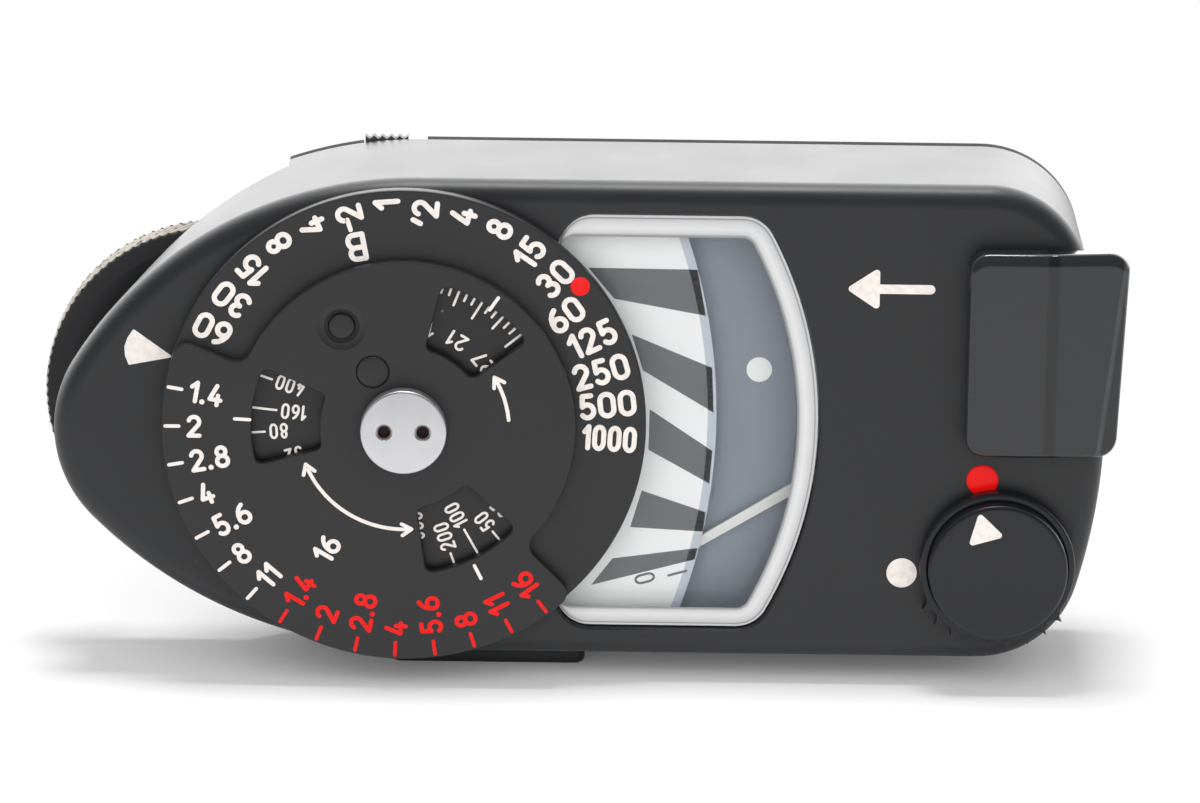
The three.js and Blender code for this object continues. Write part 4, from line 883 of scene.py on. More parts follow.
def addBasePlate():
    look, low, top = plateLook, baseLow.z, coverLow.z - plateLook["seam"]
    plate = edgedSlab("basePlate", housingPlan, low, top, look["edge"])
    far, gap, lidRadius = coverHigh.y + past, look["keyGap"], (lidHigh.x - lidLow.x) / 2
    under, over = low - past, top + past
    cut(plate,
        block("nose", (coverLow.x - past, -far, under), (housing["noseCut"], far, over)),
        rod("pocket", (wheelX, 0), wheelHigh.x - wheelX + look["pocketGap"], under, over, 192),
        rod("lidHole", middleOf("battery_lid"), lidRadius + look["lidGap"], under, over, 128),
        block("keySlot", (keyLow.x - gap, keyLow.y - gap, under),
              (keyHigh.x + look["keyRun"] + gap, far, keyHigh.z + look["keyRise"])),
        *[screwCutter(middleOf(n), low, over) for n in coverScrews],
        *[rod("hole", middleOf(n), look["hole"], under, over) for n in footScrews])
    boardLow, boardHigh = boxOf("circuit_board")
    for y in (-look["postY"], look["postY"]):
        at = ((boardLow.x + boardHigh.x) / 2, y)
        join(plate, rod("post", at, look["post"], top - lap, boardLow.z - lap))
    settle(plate, "housing", "black_enamel_satin", "flatBlack", "base_plate")


noseLook = {
    "inset": 1.25, "skirt": 0.8, "lug": 2.4, "bush": 2.54, "bore": 0.92, "gap": 0.3, "thick": 0.9,
    "clear": 0.3,
}


def addNosePlate():
    # a tray over the coupling wheel: floor, upstand behind the cover's nose, skirt and spindle lug
    look, inset, lug = noseLook, noseLook["inset"], noseLook["lug"]
    low, top, under = noseLow.z, wheelHigh.z + look["thick"], wheelHigh.z + look["clear"]
    inner = housingPlan(inset)
    radius = wheelHigh.x - wheelX + plateLook["pocketGap"]
    far, frontX = coverHigh.y + past, housing["noseCut"] + look["gap"]
    tray = slab("noseTray", inner, under, noseHigh.z)
    cut(tray, slab("well", housingPlan(inset + look["skirt"]), top, roof),
        block("behind", (frontX, -far, low - past), (coverHigh.x, far, roof)))
    drum = rod("drum", (wheelX, 0), radius + look["skirt"], low, top, 192)
    carve(drum, "INTERSECT", slab("inside", inner, low - past, top + past))
    join(tray, drum, block("arm", (housing["noseCut"], -lug, under), (dialX, lug, top)),
         rod("eye", (dialX, 0), lug, under, top, 64))
    cut(tray, rod("pocket", (wheelX, 0), radius, low - past, under, 192),
        block("front", (coverLow.x - past, -far, low - past), (frontX, far, under)),
        rod("bush", (wheelX, 0), look["bush"], under - past, top + past, 64),
        rod("bore", (dialX, 0), look["bore"], under - past, top + past))
    settle(tray, "housing", "black_enamel_satin", "flatBlack", "nose_plate")


footLook = {
    "corner": 1.2, "edge": 0.3, "neckCorner": 1.2, "neckHalfWidth": 6.2, "neckHalfLength": 8, "plate": 2.0,
}


def addFoot():
    low, (x0, y0, _), (x1, y1, _) = footLow.z, footLow, footHigh
    corner, edge, top = pick(footLook, "corner edge plate")
    neckCorner, width, length = pick(footLook, "neckCorner neckHalfWidth neckHalfLength")

    def plan(inset):
        return roundedBox(x0 + inset, x1 - inset, y0 + inset, y1 - inset, corner - inset)

    foot = edgedSlab("shoeFoot", plan, low, top, edge, edge)
    neck = roundedBox(-width, width, -length, length, neckCorner)
    join(foot, slab("neck", neck, top - lap, footHigh.z))
    cut(foot, *[screwCutter(middleOf(n), low, footHigh.z + past) for n in footScrews])
    settle(foot, "housing", "plated_steel", "nickel", "shoe_foot")


# Geometry Nodes

class NodePlan(Nodes):  # a geometry tree with named inputs
    def __init__(self, name, inputs):
        super().__init__(bpy.data.node_groups.new(name, "GeometryNodeTree"))
        faces = self.tree.interface
        faces.new_socket("Geometry", in_out="INPUT", socket_type="NodeSocketGeometry")
        self.sockets = {}
        for label, (kind, value) in inputs.items():
            item = faces.new_socket(label, in_out="INPUT", socket_type="NodeSocket" + kind)
            if value is not None:
                item.default_value = value
            self.sockets[label] = item.identifier
        faces.new_socket("Geometry", in_out="OUTPUT", socket_type="NodeSocketGeometry")
        self.source = self.tree.nodes.new("NodeGroupInput")
        self.result = self.tree.nodes.new("NodeGroupOutput")

    def given(self, label):
        return Channel(self, self.source.outputs[label])

    def close(self, geometry):
        real = self.add("GeometryNodeRealizeInstances", None, {0: geometry})
        inputs = {"Geometry": real, "Material": self.given("Finish")}
        painted = self.add("GeometryNodeSetMaterial", None, inputs)
        self.tree.links.new(painted.socket, self.result.inputs[0])

    def run(self, ob, values):
        modifier = ob.modifiers.new("plan", "NODES")
        modifier.node_group = self.tree
        for label, value in values.items():
            modifier[self.sockets[label]] = value
        return plain(ob)


def repeatPlan():
    # one pattern on every vertex, turned about Z by the vertex's own angle
    plan = NodePlan("repeatPattern", {
        "Pattern": ("Object", None), "Pattern Scale": ("Float", 1.0), "Finish": ("Material", None)})
    inputs = {"Object": plan.given("Pattern")}
    pattern = plan.add("GeometryNodeObjectInfo", {"transform_space": "ORIGINAL"}, inputs, "Geometry")
    angle = plan.add("GeometryNodeInputNamedAttribute", {"data_type": "FLOAT"}, {"Name": "turn"})
    turn = plan.add("CombineXYZ", None, {"Z": angle})
    plan.close(plan.add("GeometryNodeInstanceOnPoints", None, {
        "Points": plan.given("Geometry"), "Instance": pattern, "Rotation": turn,
        "Scale": plan.given("Pattern Scale")}))
    return plan


def knurlPlan():
    # a rim whose face is a checkerboard of high and low points, so that they stand as diamonds
    plan = NodePlan("diamondKnurl", {
        "Radius": ("Float", 0.0127), "Inner Radius": ("Float", 0.0114), "Low": ("Float", 0.004),
        "High": ("Float", 0.0065), "Edge": ("Float", 0.0001), "Depth": ("Float", 0.0002),
        "Columns": ("Int", 218), "Rows": ("Int", 7), "Centre": ("Vector", (0, 0, 0)),
        "Finish": ("Material", None)})
    columns, rows = plan.given("Columns"), plan.given("Rows")
    innerRadius, low, edge = plan.given("Inner Radius"), plan.given("Low"), plan.given("Edge")
    tall, last = rows + 5, rows + 1
    grid = plan.add("GeometryNodeMeshGrid", None, {"Vertices X": columns + 1, "Vertices Y": tall}, "Mesh")
    index = plan.add("GeometryNodeInputIndex")
    column = plan.maths("FLOOR", (index + 0.5) / tall)
    row = index - column * tall
    onFace = (row > 1.5) * (row < last + 0.5)
    onRim = (row > 0.5) * (row < last + 1.5)
    isTop = (row > last + 0.5) * (row < last + 2.5)
    odd = plan.maths("MODULO", column + row, 2.0)
    dip = plan.given("Depth") * plan.maths("MAXIMUM", odd, 1.0 - onFace)
    reach = innerRadius + (plan.given("Radius") - dip - innerRadius) * onRim
    share = (row - 2.0) / (rows - 1.0)
    height = plan.given("High") - low
    faceRise = edge + (height - edge * 2.0) * share
    rise = faceRise * onFace + height * isTop
    angle = column / columns * math.tau
    x = reach * plan.maths("COSINE", angle)
    y = reach * plan.maths("SINE", angle)
    point = plan.add("CombineXYZ", None, {0: x, 1: y, 2: low + rise})
    place = plan.add("VectorMath", {"operation": "ADD"}, {0: point, 1: plan.given("Centre")})
    placed = plan.add("GeometryNodeSetPosition", None, {"Geometry": grid, "Position": place})
    plan.close(plan.add("GeometryNodeMergeByDistance", None, {"Geometry": placed, "Distance": 1e-6}))
    return plan


def pointsObject(name, points, turns):
    # bare points, each with its angle in degrees
    ob = newObject(name, points, [])
    attribute = ob.data.attributes.new("turn", "FLOAT", "POINT")
    attribute.data.foreach_set("value", [math.radians(t) for t in turns])
    return ob


repeater = repeatPlan()

screwLook = {
    "head": 1.15, "edge": 0.05, "depth": 0.6, "shank": 0.55, "length": 4.3, "slot": 0.3, "slotDepth": 0.3,
    "turns": [20, 75, 130, 5, 48, 100],
}


def addScrews():
    head, edge, depth, shank, length = pick(screwLook, "head edge depth shank length")
    slot, slotDepth, turns = pick(screwLook, "slot slotDepth turns")
    pattern = turned("screwPattern", [
        (0, 0), (head - edge, 0), (head, edge), (shank, depth), (shank, length), (0, length)], steps=40)
    cut(pattern, block("slot", (-head - past, -slot / 2, -past), (head + past, slot / 2, slotDepth)))
    at = [(middleOf(n).x, middleOf(n).y, boxOf(n)[0].z) for n in screwNames]
    points = pointsObject("slottedScrews", at, turns)
    screws = repeater.run(points, {"Pattern": pattern, "Finish": finishes["steel"]})
    drop(pattern)
    settle(screws, "housing", "steel", "steel", *screwNames)


wheelLook = {
    "rim": 1.3, "web": 1.1, "hub": 3.0, "bore": 1.42, "columns": 218, "rows": 7, "depth": 0.2, "edge": 0.1,
    "inset": 0.2, "boss": 1.9, "bossReach": 8.0, "bossRise": 0.2, "pin": 0.8, "pinHole": 0.92,
    "pinRoof": 0.3, "pinEdge": 0.08, "pinFoot": 0.4,
}


def addWheel():
    look, radius = wheelLook, wheelHigh.x - wheelX
    inner = radius - look["rim"]
    rim = pointsObject("knurledRim", [(0, 0, 0)], [0])
    knurlPlan().run(rim, {
        "Radius": radius * mm, "Inner Radius": inner * mm, "Low": wheelLow.z * mm,
        "High": wheelHigh.z * mm, "Edge": look["edge"] * mm, "Depth": look["depth"] * mm,
        "Columns": look["columns"], "Rows": look["rows"], "Centre": (wheelX * mm, 0, 0),
        "Finish": finishes["knurl"]})
    outward(rim)
    low, top, web = wheelLow.z + look["inset"], wheelHigh.z, wheelHigh.z - look["web"]
    bore, hubRadius = pick(look, "bore hub")
    hub = turned("wheelWeb", [
        (bore, low), (hubRadius, low), (hubRadius, web), (inner, web), (inner, top), (bore, top),
        (bore, low)], wheelX, 0, 128)
    bossAt = (wheelX - look["bossReach"], 0)
    join(hub, rod("pinBoss", bossAt, look["boss"], low, web + look["bossRise"], 40))
    cut(hub, rod("pinHole", bossAt, look["pinHole"], low - past, top - look["pinRoof"]))
    settle(hub, "wheel", "black_anodised", "underEnamel", "coupling_wheel")
    rim.data.shade_flat()
    mount(rim, "wheel", "black_anodised", "coupling_wheel")
    pinLow, pinHigh = boxOf("coupling_pin")
    at = middleOf("coupling_pin")
    profile = roundedProfile(look["pin"], pinLow.z, pinHigh.z, look["pinEdge"], 3, look["pinFoot"])
    settle(turned("couplingPin", profile, at.x, at.y, 40), "pin", "steel", "steel", "coupling_pin")


hoodLook = {
    "corner": 0.8, "edge": 0.45, "edgeSteps": 5, "mouth": (3.8, 2.3), "mouthCorner": 0.8, "flare": 0.3,
    "tube": (4.8, 3.2), "tubeDepth": 5.2, "proud": 0.15, "ribs": 14, "rib": 0.12,
}


def addHood():
    look, at = hoodLook, middleOf("photocell_hood")
    halfWidth, halfHeight = (hoodHigh.x - hoodLow.x) / 2, (hoodHigh.z - hoodLow.z) / 2
    front, back = hoodLow.y - look["proud"], coverLow.y - lap
    deep = back + look["tubeDepth"]

    def ring(width, height, corner, y):
        return [(at.x + p.x, y, at.z + p.y) for p in roundedBox(-width, width, -height, height, corner)]

    rings = []
    for drawn, inset in quarter(look["edge"], look["edgeSteps"]):
        rings.append(ring(halfWidth - inset, halfHeight - inset, look["corner"] - inset, front + drawn))
    rings.append(ring(halfWidth, halfHeight, look["corner"], back))
    hood = outward(loft("photocellHood", rings))
    tube = (*look["tube"], look["corner"])
    join(hood, outward(loft("tube", [ring(*tube, back - lap), ring(*tube, deep)])))
    flare = look["flare"]
    narrow = (*look["mouth"], look["mouthCorner"])
    wide = [size + flare for size in narrow]
    cut(hood, outward(loft("mouth", [
        ring(*wide, front - past), ring(*wide, front), ring(*narrow, front + flare),
        ring(*narrow, deep + past)])))
    settle(hood, "housing", "black_enamel_satin", "underEnamel", "photocell_hood")

    # the light collector has upright lens ribs
    paneLow, paneHigh = boxOf("cell_window")
    count = look["ribs"] * 8
    outline = []
    for i in range(count + 1):
        share = i / count
        wave = abs(math.sin(math.pi * share * look["ribs"]))
        x = paneLow.x + (paneHigh.x - paneLow.x) * share
        outline.append(Vector((x, paneLow.y + look["rib"] * (1 - wave))))
    outline += [Vector((paneHigh.x, paneHigh.y)), Vector((paneLow.x, paneHigh.y))]
    pane = outward(slab("collectorPane", outline, paneLow.z, paneHigh.z))
    settle(pane, "housing", "clear_glass", "collector", "cell_window")


lidLook = {"edge": 0.2, "slot": 1.4, "slotDepth": 0.5, "plate": 0.95, "spigot": 5.8}


def addLid():
    look, edge, at = lidLook, lidLook["edge"], middleOf("battery_lid")
    radius, low, half = (lidHigh.x - lidLow.x) / 2, lidLow.z, look["slot"] / 2
    plateTop, spigot = low + look["plate"], look["spigot"]
    lid = turned("batteryLid", [
        (0, low), (radius - edge, low), (radius - edge * knee, low + edge * knee), (radius, low + edge),
        (radius, plateTop), (spigot, plateTop), (spigot, lidHigh.z), (0, lidHigh.z)], at.x, at.y, 128)
    cut(lid, block("coinSlot", (at.x - radius - past, at.y - half, low - past),
                   (at.x + radius + past, at.y + half, low + look["slotDepth"])))
    settle(lid, "lid", "black_enamel_satin", "underEnamel", "battery_lid")


# Dial stack

dialLook = {
    "radius": 16.1, "edge": 0.14, "bore": 1.62, "recess": 10.8, "floor": 0.45, "small": 11.4, "from": 158.7,
    "to": 315.0, "fillet": 1.0, "rimCorner": 1.0, "apertureEdge": 0.09, "filmRadius": 10.5, "washer": 2.62,
    "washerDepth": 0.3, "recessEdge": 0.05,
}


def addShutterDisc():
    radius, edge, recess, brink, bore = pick(dialLook, "radius edge recess recessEdge bore")
    low, high = discLow.z, discHigh.z
    floor = low + dialLook["floor"]
    profile = [(bore, low), (radius - edge, low)]
    profile += arcPairs(radius - edge, low + edge, edge, -60, 0, 3)
    profile += arcPairs(radius - edge, high - edge, edge, 0, 90, 5)
    profile += [(recess + brink, high), (recess, high - brink), (recess, floor), (bore, floor), (bore, low)]
    disc = turned("shutterDisc", profile, dialX, 0, 256)
    settle(disc, "dial", "dial_black", "dialEnamel", "shutter_speed_disc")
    reach, low, high = dialLook["filmRadius"], filmLow.z, filmHigh.z
    profile = [(bore, low), (reach, low), (reach, high), (bore, high), (bore, low)]
    settle(turned("filmDisc", profile, dialX, 0, 192), "dial", "dial_black", "filmEnamel", "film_speed_disc")


def bend(reach, angle, radius, start, end, steps):
    # a corner whose centre lies on the dial at a reach and an angle
    centre = polar(reach, angle, dialX, 0)
    return arcPoints(centre.x, centre.y, radius, start, end, steps)


def aperturePlan(inset):
    small, radius, fillet, corner, start, end = pick(dialLook, "small radius fillet rimCorner from to")
    inner, outer = small + fillet, radius - corner
    swing = math.degrees(math.asin(fillet / inner))
    rimSwing = math.degrees(math.asin(corner / outer))
    return distinct(
        arcPoints(dialX, 0, small - inset, end + swing - 360, start - swing, 120)
        + bend(inner, start - swing, fillet + inset, start - swing + 180, start + 90, 12)
        + bend(outer, start + rimSwing, corner - inset, start - 90, start + rimSwing, 8)
        + arcPoints(dialX, 0, radius - inset, start + rimSwing, end - rimSwing, 120)
        + bend(outer, end - rimSwing, corner - inset, end - rimSwing, end + 90, 8)
        + bend(inner, end + swing, fillet + inset, end - 90, end + swing - 180, 12)
    )


reading = {"inner": 5.6, "outer": 10.15, "span": 39, "at": [175.9, 56.4, -61.8], "corner": 0.5, "lip": 0.08}


def sectorPlan(at, grow):
    inner, outer, corner = reading["inner"] - grow, reading["outer"] + grow, reading["corner"] + grow
    half = reading["span"] / 2 + math.degrees(grow / outer)
    start, end = at - half, at + half
    far, near = outer - corner, inner + corner
    outSwing = math.degrees(math.asin(corner / far))
    inSwing = math.degrees(math.asin(corner / near))
    return distinct(
        arcPoints(dialX, 0, outer, start + outSwing, end - outSwing, 24)
        + bend(far, end - outSwing, corner, end - outSwing, end + 90, 6)
        + bend(near, end - inSwing, corner, end + 90, end + 180 - inSwing, 6)
        + arcPoints(dialX, 0, inner, end - inSwing, start + inSwing, 18)
        + bend(near, start + inSwing, corner, start + 180 + inSwing, start + 270, 6)
        + bend(far, start + outSwing, corner, start + 270, start + 360 + outSwing, 6)
    )


lockLook = {
    "at": 120.8, "reach": 8.1, "ring": 1.62, "well": 1.18, "bore": 0.89, "dip": 0.14, "wellDepth": 0.3,
    "step": 0.09, "button": 0.85, "edge": 0.12, "wellSlope": 0.1, "brim": 0.02, "ringSlope": 0.14,
}
rivetLook = {"at": 118.2, "reach": 4.4, "radius": 1.07, "gap": 0.02, "lip": 0.05, "proud": 0.08, "edge": 0.18}


def addApertureDisc():
    low, high, edge = apertureLow.z, apertureHigh.z, dialLook["apertureEdge"]
    under, over = low - past, high + past
    disc = edgedSlab("apertureDisc", aperturePlan, low, high, 0, edge)
    for at in reading["at"]:
        cut(disc, opening(lambda grow: sectorPlan(at, grow), under, high, reading["lip"]))
    look, at = lockLook, polar(lockLook["reach"], lockLook["at"], dialX)
    bore, well, ring, dip, step = pick(look, "bore well ring dip step")
    wellSlope, brim, ringSlope = pick(look, "wellSlope brim ringSlope")
    cut(disc, turned("well", [
        (0, under), (bore, under), (bore, high - look["wellDepth"]), (well - wellSlope, high - dip - step),
        (well, high - dip + brim), (ring - ringSlope, high - step), (ring, high), (ring, over), (0, over)],
        at.x, at.y, 64))
    buttonLow, buttonHigh = boxOf("lock_button")
    profile = roundedProfile(look["button"], buttonLow.z, buttonHigh.z, look["edge"])
    settle(turned("lockButton", profile, at.x, at.y, 64), "lock", "dial_black", "dialEnamel", "lock_button")
    look, at = rivetLook, polar(rivetLook["reach"], rivetLook["at"], dialX)
    hole, lip = look["radius"] + look["gap"], look["lip"]
    cut(disc,
        turned("rivetHole", [
            (0, under), (hole, under), (hole, high - lip), (hole + lip, high), (hole + lip, over), (0, over)],
            at.x, at.y, 64),
        rod("bore", (dialX, 0), dialLook["bore"], under, over, 64),
        rod("washerSeat", (dialX, 0), dialLook["washer"], high - dialLook["washerDepth"], over, 64))
    settle(disc, "aperture_setting", "dial_black", "dialEnamel", "aperture_disc")
    profile = roundedProfile(look["radius"], low, high + look["proud"], look["edge"])
    head = turned("discRivet", profile, at.x, at.y, 64)
    settle(head, "aperture_setting", "dial_black", "dialEnamel", "disc_rivet")


nutLook = {
    "radius": 2.87, "edge": 0.16, "arris": 0.05, "seat": 0.1, "hole": 0.43, "spacing": 2.56, "depth": 0.6,
    "sink": 0.14, "stem": 0.9,
}
grimeAndShadeLook = {"gap": 0.01, "sunk": 0.02, "skin": 0.03, "heap": 0.12}


def addNut():
    look = nutLook
    radius, edge, arris, stem, hole = pick(look, "radius edge arris stem hole")
    low, high = apertureHigh.z + look["seat"], nutHigh.z
    depth, rimZ, sink = high - look["depth"], high - look["sink"], hole + look["sink"]
    profile = [(0, nutLow.z), (stem, nutLow.z), (stem, low), (radius - arris, low), (radius, low + arris)]
    profile += arcPairs(radius - edge, high - edge, edge, 0, 90, 6)
    nut = turned("spannerNut", profile + [(0, high)], dialX, 0, 160)
    holeX = [dialX + side * look["spacing"] / 2 for side in (-1, 1)]
    for x in holeX:
        cut(nut, turned("nutHole", [
            (0, depth), (hole, depth), (hole, rimZ), (sink, high), (sink, high + past), (0, high + past)],
            x, 0, 48))
    settle(nut, "dial", "plated_steel", "nut", "spanner_nut")
    # a dark brown fill at the bottom of the spanner holes: grime, and painted shade for the dark deep inside
    # them
    gap, sunk, skin, heap = pick(grimeAndShadeLook, "gap sunk skin heap")
    reach, top, foot = hole - gap, rimZ - sunk, depth - sunk
    grimeAndShade = turned("holeGrime", [
        (0, foot), (reach, foot), (reach, top), (reach - skin, top), (reach - heap, depth + skin),
        (0, depth + sunk)], steps=32)
    points = pointsObject("spannerHoleGrime", [(x, 0, 0) for x in holeX], [0, 0])
    grimeAndShadeFills = repeater.run(points, {"Pattern": grimeAndShade, "Finish": finishes["grimeAndShade"]})
    drop(grimeAndShade)
    settle(grimeAndShadeFills, "dial", "plated_steel", "grimeAndShade")


ringText = {"size": 1.5, "width": 0.35, "gap": 0.13, "outer": 15.35, "first": 153.25, "step": 9.775}
squeezed = {"size": 1.5, "width": 0.33, "gap": 0.1, "squeeze": 0.68}
bulbText = {"size": 1.66, "width": 0.35, "squeeze": 1.08}
stopText = {"size": 1.3, "width": 0.29, "gap": 0.13, "outer": 14.3, "first": 170.3, "step": 9.78}
filmText = {"size": 0.92, "width": 0.165, "gap": 0.13, "squeeze": 0.74}
degreeText = {"size": 0.95, "width": 0.17, "gap": 0.16}
zeroText = {"size": 1.25, "width": 0.16, "gap": 0, "squeeze": 0.75}
shutterMarks = {
    "words": "60 30 15 8 4 2 1 '2 4 8 15 30 60 125 250 500 1000", "shortReach": 14.25, "shortAt": 12,
    "bulb": (-3.19, 12.2), "bulbTurn": 191, "dash": [(-3.81, 14.05), (-3.59, 13.36)], "dashWidth": 0.3,
    "dot": (15.13, 39.9), "dotRadius": 0.65, "dotHeights": (-0.05, 0.06), "dotEdge": 0.04,
}
stopMarks = {
    "words": "1.4 2 2.8 4 5.6 8 11 16", "redShift": 7, "lastReach": 10.6, "tick": (15.85, 14.95),
    "tickWidth": 0.24, "pointers": [(177.3, 10.25), (55.6, 10.0), (-63.3, 10.6)], "pointerWidth": 0.23,
    "pointerLength": 1.0,
}
# Film speeds with their places in stops, and the words whose figures start nearer the middle.
filmMarks = [
    {"first": 183.7, "short": "160 32 8 800", "reach": (8.35, 9.1), "tick": 0.2, "text": -0.2,
     "turn": 0, "align": "end",
     "at": {"1600": -4.32, "800": -3.32, "400": -2.32, "160": -1, "80": 0, "32": 1.32, "16": 2.32,
            "8": 3.32, "4": 4.32}},
    {"first": -51.0, "short": "100 500 2000 12", "reach": (8.2, 9.35), "tick": 0.1, "text": -0.25,
     "turn": 180, "align": "start",
     "at": {"6": 3, "12": 2, "25": 1, "50": 0, "100": -1, "200": -2, "500": -3.32, "1000": -4.32,
            "2000": -5.32}},
]
filmLine = {"reach": 10.1, "width": 0.15, "proud": 0.012}
degreeMarks = {
    "middle": 58.9, "count": 16, "first": 21, "reach": 6.8, "from": 10.3, "to": 10.1, "width": 0.16,
    "long": 1.45, "half": 1.2, "short": 0.65,
}


def addShutterFigures(at):
    look = shutterMarks
    strokes = Strokes("shutterFigures", discHigh.z)
    for i, word in enumerate(look["words"].split()):
        angle = ringText["first"] - ringText["step"] * i
        text = squeezed if word == "1000" else ringText
        outer = look["shortReach"] if i == look["shortAt"] else ringText["outer"]
        writeText(strokes, word, text, at + polar(outer, angle), angle)
        if i == 5:
            writeLine(strokes, [at + Vector(p) for p in look["dash"]], look["dashWidth"])
            writeText(strokes, "B", bulbText, at + Vector(look["bulb"]), look["bulbTurn"], "middle")
    strokes.build("dial", "dial_black", "white")
    x, y = at + polar(*look["dot"])
    sunk, proud = look["dotHeights"]
    profile = roundedProfile(look["dotRadius"], discHigh.z + sunk, discHigh.z + proud, look["dotEdge"], 2)
    settle(turned("flashDot", profile, x, y, 32), "dial", "dial_black", "red")


def addStopFigures(at):
    look, height = stopMarks, apertureHigh.z
    whites, reds = Strokes("stopFigures", height), Strokes("redStopFigures", height)
    for i, word in enumerate(look["words"].split()):
        for group, shift in ((whites, 0), (reds, look["redShift"])):
            # the last white figure stands alone, nearer the middle
            last = group is whites and i == look["redShift"]
            angle = stopText["first"] + stopText["step"] * (i + shift)
            outer = look["lastReach"] if last else stopText["outer"]
            writeText(group, word, stopText, at + polar(outer, angle), angle + 180, "start")
            if not last:
                tick = [at + polar(reach, angle) for reach in look["tick"]]
                writeLine(group, tick, look["tickWidth"])
    for angle, inner in look["pointers"]:
        tick = [at + polar(inner, angle), at + polar(inner + look["pointerLength"], angle)]
        writeLine(whites, tick, look["pointerWidth"])
    addScaleArrows(whites, at)
    whites.build("aperture_setting", "dial_black", "white")
    reds.build("aperture_setting", "dial_black", "red")


def addFilmFigures(at):
    film, stop = Strokes("filmSpeedFigures", filmHigh.z, filmLine["proud"]), stopText["step"]
    for look in filmMarks:
        for word, place in look["at"].items():
            angle = look["first"] + stop * place
            inner = look["reach"][0 if word in look["short"].split() else 1]
            tick = [at + polar(reach, angle) for reach in (filmLine["reach"], inner + look["tick"])]
            writeLine(film, tick, filmLine["width"])
            origin = at + polar(inner + look["text"], angle)
            writeText(film, word, filmText, origin, angle + look["turn"], look["align"])
    look = degreeMarks
    for i in range(-look["count"], look["count"] + 1):
        angle = look["middle"] + stop / 3 * i
        length = look["long"] if i % 6 == 0 else look["half"] if i % 3 == 0 else look["short"]
        tick = [at + polar(reach, angle) for reach in (look["from"], look["to"] - length)]
        writeLine(film, tick, look["width"])
        if i % 6 == 0:
            origin = at + polar(look["reach"], angle)
            writeText(film, str(look["first"] - i), degreeText, origin, angle + 90, "middle")
    film.build("dial", "dial_black", "white")


def addDialFigures():
    at = Vector((dialX, 0))
    addShutterFigures(at)
    addStopFigures(at)
    addFilmFigures(at)


arrowLook = {"reach": 7.0, "width": 0.25, "head": 0.75, "spread": 32,
             "arcs": [(201.5, 274.5, True, True), (5.6, 31.1, False, True)]}


def addScaleArrows(strokes, at):
    # plain arcs with open arrowheads point from scale to scale
    look = arrowLook
    for start, end, headAtStart, headAtEnd in look["arcs"]:
        steps = max(6, round((end - start) / 4))
        run = [at + polar(look["reach"], start + (end - start) * i / steps) for i in range(steps + 1)]
        shapes = [band(run, look["width"]), cap(run[0], look["width"]), cap(run[-1], look["width"])]
        tips = ([(start, -90)] if headAtStart else []) + ([(end, 90)] if headAtEnd else [])
        for angle, way in tips:
            tip = at + polar(look["reach"], angle)
            for side in (-1, 1):
                back = tip + polar(look["head"], angle + way + 180 + side * look["spread"])
                shapes += [capsule(tip, back, look["width"]), cap(back, look["width"])]
        strokes.lay(shapes)


# Window, panel and needle

panelLook = {
    "edgeReach": 20.8, "edgeRadius": 39.5, "edgeY": -0.3, "edgeWidth": 0.58, "edgeHalf": 13.6, "inset": 0.4,
    "stripes": [
        [(12.14, 10.18), (13.88, 8.07), (20.0, 6.97), (19.4, 10.14)],
        [(15.08, 5.61), (15.86, 3.13), (20.63, 0.26), (20.49, 3.36)],
        [(16.35, 0.43), (16.3, -2.39), (20.43, -4.71), (20.59, -2.42)],
        [(15.9, -5.26), (15.15, -7.83), (20.05, -8.08), (20.21, -6.72)],
        [(13.98, -10.06), (12.57, -11.95), (19.53, -10.05), (19.72, -9.25)],
    ],
    "proud": 0.015, "dot": (23.67, 2.9, 0.86), "dotHeights": (-0.02, 0.05), "dotEdge": 0.03,
    "zero": (16.18, -11.43), "zeroTurn": 105,
    "zeroLine": [(17.78, -11.21), (18.98, -10.87)], "edgeLap": 0.02,
}


def addGlass():
    gap, arris, flange, count = pick(window, "gap arris flange steps")
    top, seat = glassHigh.z, roof - housing["roof"] - lap
    bevel, fall = window["bevel"] - arris, window["drop"]
    edge = top - fall
    levels = [(-flange, 0, glassLow.z), (-flange, 0, seat), (gap, 0, seat), (gap, 0, edge - arris),
              (gap + arris * knee, 0, edge - arris * knee), (gap + arris, 0, edge)]
    for step in range(1, count + 1):
        # the bevel is slightly hollow, and it dies out on the near side
        share = step / count
        run = bevel * share
        levels.append((gap + arris + run, run, top - fall * (1 - share) ** window["hollow"]))
    rings = [ringAt(windowPlan(inset, near), z) for inset, near, z in levels]
    glass = loft("windowGlass", rings)
    smooth(glass, 20)
    for finish in ("clear", "bevel"):
        glass.data.materials.append(finishes[finish])
    wide = len(rings[0])
    faces = glass.data.polygons
    # the bevel's faces take the painted reflection lines
    for face in faces[1:-1]:
        face.material_index = 1 if (face.index - 1) // wide >= 2 else 0
    mount(glass, "housing", "clear_glass", "window_glass")


